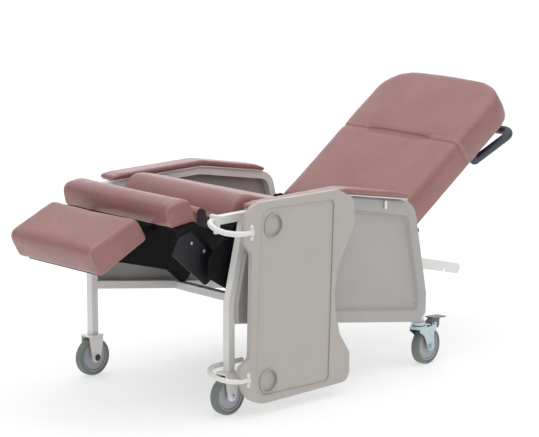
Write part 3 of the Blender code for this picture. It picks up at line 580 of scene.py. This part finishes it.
def inflated(piece, firm, crown):
    """How far a cloth simulation under pressure moves each point, scaled so that the most moved reach crown."""
    start = coordinates(piece.data)
    group = piece.vertex_groups.new(name="sewn")
    for level in range(1, FIRM_LEVELS + 1):
        chosen = np.nonzero(np.round(firm * FIRM_LEVELS) == level)[0]
        if len(chosen):
            group.add(chosen.tolist(), level / FIRM_LEVELS, "REPLACE")
    cloth = piece.modifiers.new("cloth", "CLOTH")
    settings = cloth.settings
    settings.quality = 5
    settings.mass = 0.35
    settings.use_pressure = True
    settings.uniform_pressure_force = 4.0
    settings.tension_stiffness = 18
    settings.compression_stiffness = 18
    settings.shear_stiffness = 8
    settings.bending_stiffness = 1.2
    settings.vertex_group_mass = "sewn"
    settings.effector_weights.gravity = 0
    cloth.collision_settings.use_collision = False
    scene = bpy.context.scene
    for number in range(1, CLOTH_FRAMES + 1):
        scene.frame_set(number)
    result = piece.evaluated_get(bpy.context.evaluated_depsgraph_get())
    moved = coordinates(result.to_mesh()) - start
    result.to_mesh_clear()
    piece.modifiers.clear()
    scene.frame_set(1)
    moved *= crown / max(np.percentile(np.linalg.norm(moved, axis=1), 98), 1e-6)
    length = np.linalg.norm(moved, axis=1)
    return moved * np.minimum(1, crown * 1.15 / np.maximum(length, 1e-9))[:, None]


def stuffed(node, voxel, shrink, crown, rounds, held, angle, proud, edge, sculpt):
    """A CAD cushion's solid, remeshed, swollen and finished with one subdivision.

    The lowest layer, edge deep, stays nearly flat, where the cushion sits on its board."""
    piece = remeshed(node, voxel)
    mesh = piece.data
    depth = coordinates(mesh) @ np.array((0, -sin(angle), cos(angle)))
    flat_layer = 0.004
    base = 1 - smoothstep(depth - depth.min(), flat_layer, flat_layer + edge)
    relax(mesh, rounds, keep=0.93 * base)
    start = coordinates(mesh) - vertex_normals(mesh) * shrink
    set_coordinates(mesh, start)
    firm = np.maximum(held(start), 0.95 * base)
    moved = vertex_normals(mesh) * crown * (1 - firm)[:, None]
    moved = 0.5 * inflated(piece, firm, crown) + 0.5 * moved
    set_coordinates(mesh, start + moved)
    relax(mesh, 2)
    subdivided(piece)
    set_coordinates(piece.data, fitted(coordinates(piece.data), node, angle, proud))
    set_coordinates(piece.data, sculpt(coordinates(piece.data), vertex_normals(piece.data)))
    covered(piece, node)
    return piece


def surface(piece):
    return BVHTree.FromObject(piece, bpy.context.evaluated_depsgraph_get())


def girdle(tree, centre, x):
    """The loop where the plane at x cuts a cushion, as (point, normal) pairs seen from a centre (y, z)."""
    rays = 420
    distance = 0.6
    loop = []
    for k in range(rays):
        turn = 2 * pi * k / rays
        outward = Vector((0, cos(turn) * distance, sin(turn) * distance))
        origin = Vector((x, *centre)) + outward
        hit, normal, _, _ = tree.ray_cast(origin, -outward.normalized())
        if hit:
            loop.append((hit, normal))
    return loop + loop[:1]


def trace(tree, points, direction):
    """The places where rays through points in one direction meet a cushion."""
    distance = 0.3
    found = []
    for point in points:
        hit, normal, _, _ = tree.ray_cast(Vector(point) - direction * distance, direction)
        if hit:
            found.append((hit, normal))
    return found


def resampled(path, pitch):
    """Evenly spaced (point, normal, direction) along a traced path."""
    points = [p for p, _ in path]
    lengths = [0.0]
    for a, b in zip(points, points[1:]):
        lengths.append(lengths[-1] + (b - a).length)
    count = max(int(lengths[-1] / pitch), 1)
    result = []
    index = 0
    for k in range(count):
        want = lengths[-1] * (k + 0.5) / count
        while index < len(points) - 2 and lengths[index + 1] < want:
            index += 1
        span = max(lengths[index + 1] - lengths[index], 1e-9)
        t = (want - lengths[index]) / span
        point = points[index].lerp(points[index + 1], t)
        normal = path[index][1].lerp(path[index + 1][1], t).normalized()
        result.append((point, normal, (points[index + 1] - points[index]).normalized()))
    return result


# Rings of one stitch: place along it, thickness and lift, as shares of its length and radius.
STITCH_RINGS = [
    (-0.5, 0.45, -0.6), (-0.32, 0.95, 0.15), (0.0, 1.0, 0.45), (0.32, 0.95, 0.15), (0.5, 0.45, -0.6),
]
STITCH_SIDES = 6


def stitches(name, paths, body, material, pitch, length, radius):
    """Rows of short rounded stitches, sunk a little at both ends."""
    bm = bmesh.new()
    turns = [2 * pi * k / STITCH_SIDES for k in range(STITCH_SIDES)]
    for path in paths:
        for point, normal, along in resampled(path, pitch):
            side = along.cross(normal).normalized()
            rings = []
            for t, size, lift in STITCH_RINGS:
                middle = point + along * length * t + normal * radius * lift
                outward = [side * cos(a) + normal * sin(a) for a in turns]
                rings.append([bm.verts.new(middle + way * radius * size) for way in outward])
            for a, b in zip(rings, rings[1:]):
                for k in range(STITCH_SIDES):
                    following = (k + 1) % STITCH_SIDES
                    bm.faces.new((a[k], a[following], b[following], b[k]))
            bm.faces.new(rings[0][::-1])
            bm.faces.new(rings[-1])
    piece = from_bmesh(name, bm, material)
    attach(piece, body)


def near(value, centre, width):
    """1 at the centre, falling off to 0 over the width as a bell curve."""
    return np.exp(-((value - centre) / width) ** 2)


# Back: a tall pad with a sewn headrest line, recessed at its middle.
BACK_SLOPE = radians(34.6)
BACK_THICK = 0.108
BACK_HALF = 0.2675
BACK_LENGTH = 0.684
HEAD_SEAM = 0.386
BAND_HALF = 0.145
BACK_UP, BACK_OUT = slope_axes(BACK_SLOPE)
back_origin = joint_place("recline")


def back_local(co):
    """Across, along and outward distances of points on the back."""
    relative = co - np.array([ORIGIN.x, back_origin.y, back_origin.z])
    return relative[:, 0], relative @ np.array(BACK_UP), relative @ np.array(BACK_OUT)


def back_held(co):
    _, along, _ = back_local(co)
    return 0.9 * near(along, HEAD_SEAM, 0.012)


def back_sculpt(co, normals):
    """The sewn headrest line: a flat stitched band at its middle, a crease and a fold beside it."""
    across, along, out = back_local(co)
    front = smoothstep(out, -0.030, -0.008)
    sides = 1 - smoothstep(-out, BACK_THICK - 0.030, BACK_THICK - 0.010)
    outer = smoothstep(np.abs(across), BAND_HALF - 0.004, BAND_HALF + 0.004)
    crease = 0.0026 * near(along, HEAD_SEAM, 0.0034) * outer * sides
    fold = 0.0014 * near(along, HEAD_SEAM + 0.012, 0.0085) * outer * sides
    reach = 0.011 * np.sqrt(np.clip(1 - (np.abs(across) / (BAND_HALF + 0.004)) ** 6, 0, 1))
    flat = 1 - smoothstep(np.abs(along - HEAD_SEAM), reach - 0.002, reach + 0.004)
    band = 0.0040 * flat * (1 - outer) * front
    puckers = 0.0004 * np.sin(along * 2 * pi / 0.034 + 3 * across) * near(along, HEAD_SEAM, 0.035) * front
    head = 0.0022 * smoothstep(along, HEAD_SEAM + 0.01, HEAD_SEAM + 0.07) * front
    move = fold + head - crease - band + puckers
    # The top edge bows up between its round corners.
    bow = 0.010 * np.clip(1 - (across / 0.21) ** 2, 0, 1) * smoothstep(along, BACK_LENGTH - 0.12, BACK_LENGTH)
    return co + normals * move[:, None] + np.array(BACK_UP) * bow[:, None]


back = stuffed(
    "back_cushion", voxel=0.0065, shrink=0.0045, crown=0.0070, rounds=34, held=back_held,
    angle=BACK_SLOPE, proud=(0.009, 0.008, 0.006), edge=0.045, sculpt=back_sculpt,
)
back_tree = surface(back)


def back_point(across, along, out=0.0):
    return Vector((ORIGIN.x + across, back_origin.y, back_origin.z)) + BACK_UP * along + BACK_OUT * out


def spaced(low, high, count=120):
    """Evenly spaced numbers from low to high."""
    return [low + (high - low) * k / (count - 1) for k in range(count)]


band_rows = []
for offset in (-0.0078, -0.0026, 0.0026, 0.0078):
    line = [back_point(x, HEAD_SEAM + offset) for x in spaced(-BAND_HALF + 0.004, BAND_HALF - 0.004)]
    band_rows.append(trace(back_tree, line, -BACK_OUT))
# The band's stitches take the darker thread, as painted shade in the recess.
stitches("headrest_band_stitching", band_rows, "back", THREAD_PAINTED_SHADE, pitch=0.0050, length=0.0043, radius=0.00080)

# Each outer row runs over the face, round the corner and down the side.
CORNER_ACROSS = BACK_HALF - 0.036
CORNER_DOWN = -0.032
CORNER_RAYS = 30
outer_rows = []
for sign in (1, -1):
    for offset in (0.0095, 0.0165):
        seam = HEAD_SEAM + offset
        face_line = [back_point(sign * x, seam) for x in spaced(BAND_HALF + 0.006, BACK_HALF - 0.030)]
        side_line = [back_point(0, seam, out) for out in spaced(-0.030, -BACK_THICK + 0.026, 40)]
        aim = back_point(sign * (BACK_HALF - 0.040), seam, -0.035)
        corner = []
        for k in range(1, CORNER_RAYS):
            turn = pi / 2 * k / CORNER_RAYS
            direction = (X * sign * sin(turn) + BACK_OUT * cos(turn)).normalized()
            hit, normal, _, _ = back_tree.ray_cast(aim + direction * 0.2, -direction)
            if hit:
                corner.append((hit, normal))
        over = [pair for pair in trace(back_tree, face_line, -BACK_OUT)
                if abs(pair[0].x - ORIGIN.x) < CORNER_ACROSS]
        corner = [pair for pair in corner if abs(pair[0].x - ORIGIN.x) > CORNER_ACROSS + 0.002
                  and (pair[0] - back_point(0, 0, CORNER_DOWN)).dot(BACK_OUT) > 0.0]
        outer_rows.append(over + corner + trace(back_tree, side_line, -X * sign))
stitches("headrest_side_stitching", outer_rows, "back", THREAD, pitch=0.0054, length=0.0045, radius=0.00080)

# Seat: one deep cushion, rounded over at its front.
SEAT_SLOPE = radians(-15.5)
SEAT_HALF = 0.266


def seat_held(co):
    return 0.3 * near(np.abs(co[:, 0] - ORIGIN.x), SEAT_HALF - 0.006, 0.008)


def seat_sculpt(co, normals):
    """Pulls the surface in along the end panels' seams, with small wrinkles beside them."""
    across = np.abs(co[:, 0] - ORIGIN.x)
    local = co @ np.array((0, cos(SEAT_SLOPE), sin(SEAT_SLOPE)))
    behind = local - local.min()
    pull = 0.0012 * near(across, SEAT_HALF - 0.020, 0.004) * smoothstep(behind, 0.05, 0.12)
    wrinkle = 0.0006 * np.sin(behind * 90 + across * 14) * near(across, SEAT_HALF - 0.04, 0.04)
    return co - normals * (pull + wrinkle)[:, None]


stuffed(
    "seat_cushion", voxel=0.0075, shrink=0.0055, crown=0.0070, rounds=16, held=seat_held,
    angle=SEAT_SLOPE, proud=(0.0, 0.0, 0.003), edge=0.02, sculpt=seat_sculpt,
)

# Calf and foot cushions: rolls with sewn-on end panels.


def roll(node, name, half, voxel, crown, angle):
    """One of the two small cushions with its end seams and topstitching."""
    middle = box_centre(node)

    def held(co):
        across = np.abs(co[:, 0] - ORIGIN.x)
        return 0.75 * near(across, half - 0.005, 0.006)

    def sculpt(co, normals):
        across = np.abs(co[:, 0] - ORIGIN.x)
        edge = 0.0020 * near(across, half - 0.0102, 0.0026)
        rows = 0.0007 * np.sin(co[:, 0] * 2 * pi / 0.09 + co[:, 2] * 40) * near(across, half - 0.03, 0.03)
        return co - normals * (edge + rows)[:, None]

    cushion = stuffed(
        node, voxel=voxel, shrink=0.004, crown=crown, rounds=9, held=held,
        angle=angle, proud=(0.003, 0.003, 0.003), edge=0.018, sculpt=sculpt,
    )
    tree = surface(cushion)
    rows = []
    for sign in (1, -1):
        for inset in (0.0070, 0.0135):
            rows.append(girdle(tree, (middle.y, middle.z), ORIGIN.x + sign * (half - inset)))
    stitches(name, rows, BODY_OF[node], THREAD, pitch=0.0050, length=0.0042, radius=0.00075)


roll("calf_cushion", "calf_stitching", half=0.258, voxel=0.0050, crown=0.0050, angle=radians(5.0))
roll("foot_cushion", "foot_stitching", half=0.200, voxel=0.0055, crown=0.0060, angle=radians(25.7))


# Arm pads: thin foam under tight vinyl.
for side in SIDES:
    node = "arm_pad_" + side
    pad = remeshed(node, voxel=0.0034)
    relax(pad.data, rounds=7)
    subdivided(pad)
    set_coordinates(pad.data, fitted(coordinates(pad.data), node, angle=0.0, proud=(0.0005, 0.001, 0.0005)))
    covered(pad, node)

# The arched flap between calf cushion and seat, cut as one strip: its outer line, as (y, z).
FLAP_LINE = [
    (-0.052, 0.607), (-0.052, 0.640), (-0.036, 0.655), (-0.012, 0.646), (-0.002, 0.612), (-0.001, 0.585),
]
FLAP_CORNERS = [0.015, 0.014, 0.016, 0.03]
FLAP_HALF = 0.245
FLAP_THICK = 0.0032
FLAP_RIPPLE = 0.0007
FLAP_SKIN = 0.0003
flap_path = rounded_path([(0, y, z) for y, z in FLAP_LINE], FLAP_CORNERS, 8)
bm = bmesh.new()
columns = 48
lengths = [0.0]
for a, b in zip(flap_path, flap_path[1:]):
    lengths.append(lengths[-1] + (b - a).length)
grid = []
for index, point in enumerate(flap_path):
    before = flap_path[max(index - 1, 0)]
    after = flap_path[min(index + 1, len(flap_path) - 1)]
    run = (after - before).normalized()
    inward = Vector((0, run.z, -run.y))
    row = []
    for k in range(columns + 1):
        u = k / columns * 2 - 1
        wave = FLAP_RIPPLE * sin(u * 9.0 + index * 0.25) * sin(pi * index / (len(flap_path) - 1))
        middle = point + inward * (FLAP_THICK / 2 + wave + FLAP_SKIN)
        row.append(bm.verts.new(chair(u * FLAP_HALF, middle.y, middle.z)))
    grid.append(row)
for a, b in zip(grid, grid[1:]):
    for k in range(columns):
        bm.faces.new((a[k], a[k + 1], b[k + 1], b[k]))
flap = from_bmesh("gap_flap_vinyl", bm, LOOKS["rose_vinyl"])
solid = flap.modifiers.new("thickness", "SOLIDIFY")
solid.thickness = FLAP_THICK - 2 * FLAP_SKIN
solid.offset = 0
bevelled(flap, 0.0009, 2, 50)
baked(flap)
# The faces that look towards the inside of the arch show the vinyl's backing, coloured dark as painted shade
# inside the arch.
flap.data.materials.append(BACKING_PAINTED_SHADE)
arch_y, arch_z = ORIGIN.y - 0.028, 0.608
for face in flap.data.polygons:
    if face.normal.y * (arch_y - face.center.y) + face.normal.z * (arch_z - face.center.z) > 0:
        face.material_index = 1
flap.data.shade_smooth()
place(flap, "legrest", "rose_vinyl", "gap_flap")


# Moulded and painted parts: the width and segments of their rounded edges, and from which angle they round.
SHEET_EDGE = (0.0009, 2)
TUBE_EDGE = (0.0035, 3, 40)
PAIRED_EDGES = {
    "side_panel_": (0.0026, 4),
    "arm_plate_": (0.0012, 2),
    "mechanism_plate_": SHEET_EDGE,
    "seat_side_plate_": SHEET_EDGE,
    "legrest_arm_": SHEET_EDGE,
    "link_cover_": (0.0010, 2),
    "back_bracket_": SHEET_EDGE,
    "foot_strap_": SHEET_EDGE,
    "front_fork_": (0.0011, 2),
    "caster_fork_": (0.0011, 2),
    "caster_cap_": (0.0030, 3),
    "brake_pedal_": SHEET_EDGE,
    "front_leg_": TUBE_EDGE,
    "arm_rail_": TUBE_EDGE,
    "rear_leg_": TUBE_EDGE,
    "lower_rail_": TUBE_EDGE,
}
OWN_LOOKS = {"link_cover_": COVER, "brake_pedal_": PEDAL}
forms = {}
for side in SIDES:
    for name, edge in PAIRED_EDGES.items():
        forms[name + side] = refined(name + side, *edge, look=OWN_LOOKS.get(name))
refined("middle_cross_rail", *TUBE_EDGE)
refined("rear_cross_rail", *TUBE_EDGE)
refined("tray_socket", 0.0020, 3)
tray = refined("tray", 0.0016, 3, 35)


def rolled_edge(piece, plane, back_plane, width, segments):
    """Rounds a face's outer edge far more than its recesses' edges: the points that have a twin at the back."""
    on_plane = 2e-4
    twin = 3e-4
    co = coordinates(piece.data)
    group = piece.vertex_groups.new(name="rim")
    rear = co[np.abs(co[:, 0] - back_plane) < on_plane][:, 1:]
    chosen = [int(i) for i in np.nonzero(np.abs(co[:, 0] - plane) < on_plane)[0]
              if np.min(np.abs(rear - co[i, 1:]).sum(1)) < twin]
    group.add(chosen, 1.0, "REPLACE")
    bevel = bevelled(piece, width, segments)
    bevel.limit_method = "VGROUP"
    bevel.vertex_group = "rim"
    piece.modifiers.move(len(piece.modifiers) - 1, 0)


rolled_edge(tray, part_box("tray")[1].x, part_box("tray")[0].x, width=0.0100, segments=7)
for side, outer, inner in (("left", 1, 0), ("right", 0, 1)):
    node = "side_panel_" + side
    rolled_edge(forms[node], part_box(node)[outer].x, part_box(node)[inner].x, width=0.0055, segments=5)

# Raised beads round the tray's field and its two cup recesses, as (y, z).
BEAD_RADIUS = 0.0021
FIELD_START = (0.047, 0.365)
FIELD_CORNERS = [(0.060, 0.664), (0.376, 0.652), (0.354, 0.060), (0.034, 0.066)]
FIELD_RADII = [0.045, 0.020, 0.020, 0.040]
CUPS = [(0.112, 0.603), (0.090, 0.110)]
CUP_BEAD = 0.037
CUP_STEPS = 72
tray_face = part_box("tray")[1].x - ORIGIN.x - 0.0007
field = [(tray_face, y, z) for y, z in (FIELD_START, *FIELD_CORNERS, FIELD_START)]
beads = [rounded_path(field, FIELD_RADII, 10)]
for cup_y, cup_z in CUPS:
    turns = [2 * pi * k / CUP_STEPS for k in range(CUP_STEPS + 1)]
    beads.append([(tray_face, cup_y + CUP_BEAD * cos(turn), cup_z + CUP_BEAD * sin(turn)) for turn in turns])
beads = [[chair(*point) for point in bead] for bead in beads]
beads = [tube("bead", bead, BEAD_RADIUS, LOOKS["beige_tray"], 12) for bead in beads]
place(joined("tray_beads", beads), "tray_assembly", "beige_tray")

refined("position_bar", *SHEET_EDGE)
refined("seat_pan", 0.0016, 2)
refined("calf_board", 0.0012, 2)
refined("foot_board", 0.0012, 2)
refined("back_board", 0.0016, 2)
refined("release_lever", 0.0010, 2)


# Wheels.


WHEEL_HALF = (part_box("front_left_tyre")[1].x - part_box("front_left_tyre")[0].x) / 2
WHEEL_SEGMENTS = 112
# One side of a hub, as (distance from its middle, radius): bore, disc, groove and rim.
HUB_SIDE = [
    (0.0169, 0.0066), (0.0169, 0.0118), (0.0160, 0.0130), (0.0120, 0.0140), (0.0112, 0.0155), (0.0108, 0.0200),
    (0.0112, 0.0400), (0.0116, 0.0418), (0.0108, 0.0426), (0.0085, 0.0430), (0.0085, 0.0442), (0.0112, 0.0446),
    (0.0140, 0.0454), (0.0145, 0.0464), (0.0145, 0.0492), (0.0136, 0.0503), (0.0120, 0.0507),
]


def mirrored(profile):
    """A profile followed by its own mirror image, so that it runs on to the other side."""
    return profile + [(-along, radius) for along, radius in reversed(profile)]


def wheel_set(prefix, wheel_body, axis):
    """A tyre with a rounded tread and a hub with a grooved disc."""
    tyre = prefix + "_tyre"
    hub = prefix + "_hub"
    centre = box_centre(tyre)
    radius = (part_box(tyre)[1].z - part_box(tyre)[0].z) / 2
    half = WHEEL_HALF
    side = [(-half + 0.0004, 0.0512), (-half, 0.0520), (-half, 0.0530), (-half + 0.0002, radius - 0.0085)]
    for k in range(1, 8):
        turn = pi / 2 * k / 8
        side.append((-half + 0.0060 * (1 - cos(turn)), radius - 0.0080 + 0.0076 * sin(turn)))
    side += [(-half + 0.0085, radius - 0.0001), (-0.004, radius)]
    profile = mirrored(side)
    # The darker tread covers the steps over the tyre's crown, from its shoulder to the other one.
    bands = [1 if len(side) - 5 <= i <= len(side) + 3 else 0 for i in range(len(profile))]
    made = lathe(tyre + "_form", profile, centre, axis, [LOOKS["grey_tyre"], TREAD], WHEEL_SEGMENTS, bands)
    place(made, wheel_body, "grey_tyre", tyre)
    made = lathe(hub + "_form", mirrored(HUB_SIDE), centre, axis, [LOOKS["grey_hub"]], WHEEL_SEGMENTS)
    place(made, wheel_body, "grey_hub", hub)


for side in SIDES:
    wheel_set("front_" + side, "front_wheel_" + side, X)
    caster_axis = Vector(JOINTS["caster_" + side + "_wheel_spin"]["axis"])
    wheel_set("rear_" + side, "caster_wheel_" + side, caster_axis)


# The tray's rods, as points from the chair's centre plane, front axle and floor.
FRAME_X = 0.332
UPPER_ROD = 0.009
LOWER_ROD = 0.008
RAIL_Z = 0.628
FACE_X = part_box("tray")[1].x - ORIGIN.x
UPPER_BEND = 0.011
UPPER_LINE = [
    (FRAME_X, 0.018, RAIL_Z), (FRAME_X, -0.066, RAIL_Z), (0.338, -0.079, 0.626), (0.352, -0.085, 0.619),
    (0.371, -0.081, 0.609), (0.394, -0.064, 0.600), (0.411, -0.040, 0.595), (FACE_X - 0.003, -0.016, 0.594),
    (FACE_X - 0.002, 0.018, 0.594),
]
upper = rounded_path([chair(*p) for p in UPPER_LINE], [UPPER_BEND] * (len(UPPER_LINE) - 2), 5)
# The lower rod is a half loop that leans outwards and down; both its legs run on backwards.
LOOP_IN, LOOP_OUT, LOOP_Y = 0.292, FACE_X - 0.003, -0.012
LOOP_Z = 0.152
LOOP_LEAN = 0.19
LOOP_STEPS = 40
bend = (LOOP_OUT - LOOP_IN) / 2
arc = [pi * k / LOOP_STEPS for k in range(LOOP_STEPS + 1)]
flat = [(LOOP_OUT - bend + bend * cos(a), LOOP_Y - bend * sin(a)) for a in arc]
flat = [(LOOP_OUT, 0.003), *flat, (LOOP_IN, 0.098)]
lower = [chair(x, y, LOOP_Z - (x - LOOP_IN) * LOOP_LEAN) for x, y in flat]


def hanger(node, path, radius, end):
    """A bent rod with one end standing in a collar, between two screwed pads on the tray's face."""
    white = LOOKS["white_powder_coat"]
    tip = path[end]
    parts = [tube(node + "_bar", path, radius, white, 28)]
    ring = [
        (-0.0050, 0.0), (-0.0050, radius + 0.0002), (-0.0046, radius + 0.0016), (-0.0022, radius + 0.0022),
        (-0.0018, radius + 0.0046), (0.0008, radius + 0.0050), (0.0020, radius + 0.0042),
        (0.0022, radius * 0.5), (0.0022, 0.0),
    ]
    parts.append(lathe(node + "_collar", ring, tip, Vector((0, 1, 0)), [white], 40))
    pad = [(-0.001, 0), (-0.001, 0.0078), (0.0012, 0.0078), (0.0020, 0.0068), (0.0020, 0)]
    for rise in (-1, 1):
        spot = Vector((FACE_X + ORIGIN.x, tip.y - 0.001, tip.z + rise * (radius + 0.0085)))
        parts.append(lathe(node + "_pad", pad, spot, X, [white], 28))
        parts.append(screw(node + "_head", spot + X * 0.0018, X, 0.0034, 0.0020, LOOKS["zinc_plate"]))
    place(joined(node + "_form", parts), "tray_assembly", "white_powder_coat", node)


hanger("tray_hanger_upper", upper, UPPER_ROD, -1)
hanger("tray_hanger_lower", lower, LOWER_ROD, 0)

# Grab loop behind the back, on two flanges. Distances are along the back and out of its rear face.
LOOP_HALF = 0.240
LOOP_RADIUS = 0.0150
LOOP_RADII = [0.010, 0.040, 0.040, 0.010]
FOOT_ALONG = 0.445
FLANGE_ALONG = 0.441
FLANGE_SIZE = (0.023, 0.057, 0.0038, 1)
rear_out = -BACK_THICK - 0.0096
foot_point = back_point(0, FOOT_ALONG, rear_out - 0.002)
knee_point = back_point(0, FOOT_ALONG, rear_out - 0.022)
reach_point = Vector((0, ORIGIN.y + 1.430, 0.717))
loop = []
for sign, order in ((1, (foot_point, knee_point, reach_point)), (-1, (reach_point, knee_point, foot_point))):
    loop += [Vector((ORIGIN.x + sign * LOOP_HALF, p.y, p.z)) for p in order]
parts = [tube("push_handle_bar", rounded_path(loop, LOOP_RADII, 12), LOOP_RADIUS, LOOKS["slate_grip"], 32)]
for sign in (1, -1):
    bm = bmesh.new()
    bmesh.ops.create_cube(bm, size=1.0)
    turn = Matrix((X, BACK_UP, BACK_OUT)).transposed().to_4x4()
    turn.translation = back_point(sign * LOOP_HALF - 0.008, FLANGE_ALONG, rear_out - 0.002)
    bmesh.ops.transform(bm, matrix=turn @ Matrix.Diagonal(FLANGE_SIZE), verts=bm.verts)
    flange = from_bmesh("flange", bm, LOOKS["slate_grip"])
    bevelled(flange, 0.0013, 3)
    parts.append(flange)
    for along in (0.419, 0.463):
        spot = back_point(sign * LOOP_HALF - 0.012, along, rear_out - 0.0036)
        parts.append(screw("flange_screw", spot, -BACK_OUT, 0.0040, 0.0024, LOOKS["zinc_plate"]))
place(joined("push_handle_form", parts), "back", "slate_grip", "push_handle")


# Small hardware.


def fitted_screw(name, point, axis, radius, height, body):
    place(screw(name, point, axis, radius, height, LOOKS["zinc_plate"]), body, "zinc_plate")


TUBE_HALF = 0.013
PANEL_GAP = 0.0003
PANEL_THICK = 0.016
DISH_DEPTH = 0.0125
PANEL_OUT = FRAME_X + TUBE_HALF + PANEL_GAP + PANEL_THICK
DISH_EDGE = PANEL_OUT - DISH_DEPTH + 0.002
COVER_IN = 0.2673
COVER_THICK = 0.003
COVER_OUT = COVER_IN + COVER_THICK
# Screws on the panels, as (y, z, surface), and on the link covers, as (y, z).
PANEL_SCREWS = [
    (0.829, 0.236, DISH_EDGE), (0.861, 0.190, PANEL_OUT), (0.024, 0.176, PANEL_OUT), (0.044, 0.520, PANEL_OUT),
]
COVER_SCREWS = [(-0.092, 0.553), (-0.040, 0.520)]
FRONT_WHEEL_X = 0.330
AXLE_HALF = 0.0296
AXLE_Z = 0.0625
SIGNED_SIDES = ((1, "left"), (-1, "right"))
for sign, side in SIGNED_SIDES:
    for number, (y, z, x) in enumerate(PANEL_SCREWS):
        spot = chair(sign * (x - 0.0004), y, z)
        fitted_screw(f"panel_screw_{side}_{number}", spot, X * sign, 0.0046, 0.0028, "frame")
for sign, side in SIGNED_SIDES:
    for number, (y, z) in enumerate(COVER_SCREWS):
        spot = chair(sign * (COVER_OUT - 0.0002), y, z)
        fitted_screw(f"link_cover_screw_{side}_{number}", spot, X * sign, 0.0045, 0.0016, "legrest")
# The front axles end in a bolt head outside and a round cap inside.
for sign, side in SIGNED_SIDES:
    spot = chair(sign * (FRONT_WHEEL_X + AXLE_HALF - 0.0006), 0.0, AXLE_Z)
    fitted_screw(f"axle_head_{side}", spot, X * sign, 0.0068, 0.0018, "frame")
    spot = chair(sign * (FRONT_WHEEL_X - AXLE_HALF + 0.0005), 0.0, AXLE_Z)
    cap = screw(f"axle_cap_{side}", spot, -X * sign, 0.0095, 0.0030, CAP, recess=False)
    place(cap, "frame", "black_paint")


# Floor, light and camera.
FLOOR_HALF = 40.0
bm = bmesh.new()
bmesh.ops.create_grid(bm, x_segments=8, y_segments=8, size=FLOOR_HALF)
floor_look = Look("pale_floor", (0.46, 0.46, 0.46), 0.85)
floor_look.tint(floor_look.noise(2, 3), *MOST, 0.985, 1.0)
floor_look.shader.inputs["Emission Color"].default_value = (1, 1, 1, 1)
floor_look.shader.inputs["Emission Strength"].default_value = 0.56
floor = from_bmesh("studio_floor", bm, floor_look.material)

world = bpy.data.worlds.new("studio")
bpy.context.scene.world = world
world.use_nodes = True
world.node_tree.nodes["Background"].inputs["Color"].default_value = (1.0, 1.0, 1.0, 1)

# A broad overhead glow: dim at the horizon, bright above, like a white studio ceiling.
HORIZON, ZENITH = 0.08, 1.42
sky = world.node_tree.nodes
split = sky.new("ShaderNodeSeparateXYZ")
world.node_tree.links.new(sky.new("ShaderNodeTexCoord").outputs["Generated"], split.inputs["Vector"])
rise = sky.new("ShaderNodeMapRange")
rise.inputs["To Min"].default_value = HORIZON
rise.inputs["To Max"].default_value = ZENITH
world.node_tree.links.new(split.outputs["Z"], rise.inputs["Value"])
world.node_tree.links.new(rise.outputs["Result"], sky["Background"].inputs["Strength"])


def softbox(name, place_at, towards, size, power, colour=(1, 1, 1)):
    """A rectangular lamp turned towards a point; its size is its width and height in metres."""
    lamp = bpy.data.lights.new(name, "AREA")
    lamp.shape = "RECTANGLE"
    lamp.size, lamp.size_y = size
    lamp.energy = power
    lamp.color = colour
    made = bpy.data.objects.new(name, lamp)
    bpy.context.scene.collection.objects.link(made)
    made.location = place_at
    made.rotation_euler = (towards - place_at).to_track_quat("-Z", "Y").to_euler()


middle = chair(0, 0.5, 0.45)
softbox("overhead", middle + Vector((0.4, -0.2, 2.6)), middle, (2.6, 3.2), power=12)
softbox("key", middle + Vector((2.6, 1.5, 2.3)), middle, (2.2, 1.8), power=7)
softbox("front_fill", middle + Vector((0.8, -3.4, 1.0)), middle, (2.0, 1.5), power=0.4)
softbox("rim", middle + Vector((-3.2, 3.0, 0.95)), middle, (4.0, 1.6), power=30, colour=(0.90, 0.94, 1.0))

AZIMUTH = radians(46.54)
ELEVATION = radians(11.7)
DISTANCE = 8.76
target = chair(0, 0.494, 0.507)
away = Vector((sin(AZIMUTH) * cos(ELEVATION), -cos(AZIMUTH) * cos(ELEVATION), sin(ELEVATION)))
lens = bpy.data.cameras.new("camera")
lens.lens = 176.7
lens.sensor_width = 36.0
lens.sensor_fit = "HORIZONTAL"
lens.clip_end = 60.0
camera = bpy.data.objects.new("camera", lens)
bpy.context.scene.collection.objects.link(camera)
camera.location = target + away * DISTANCE
camera.rotation_euler = (-away).to_track_quat("-Z", "Y").to_euler()
bpy.context.scene.camera = camera
bpy.context.scene.view_settings.view_transform = "Standard"
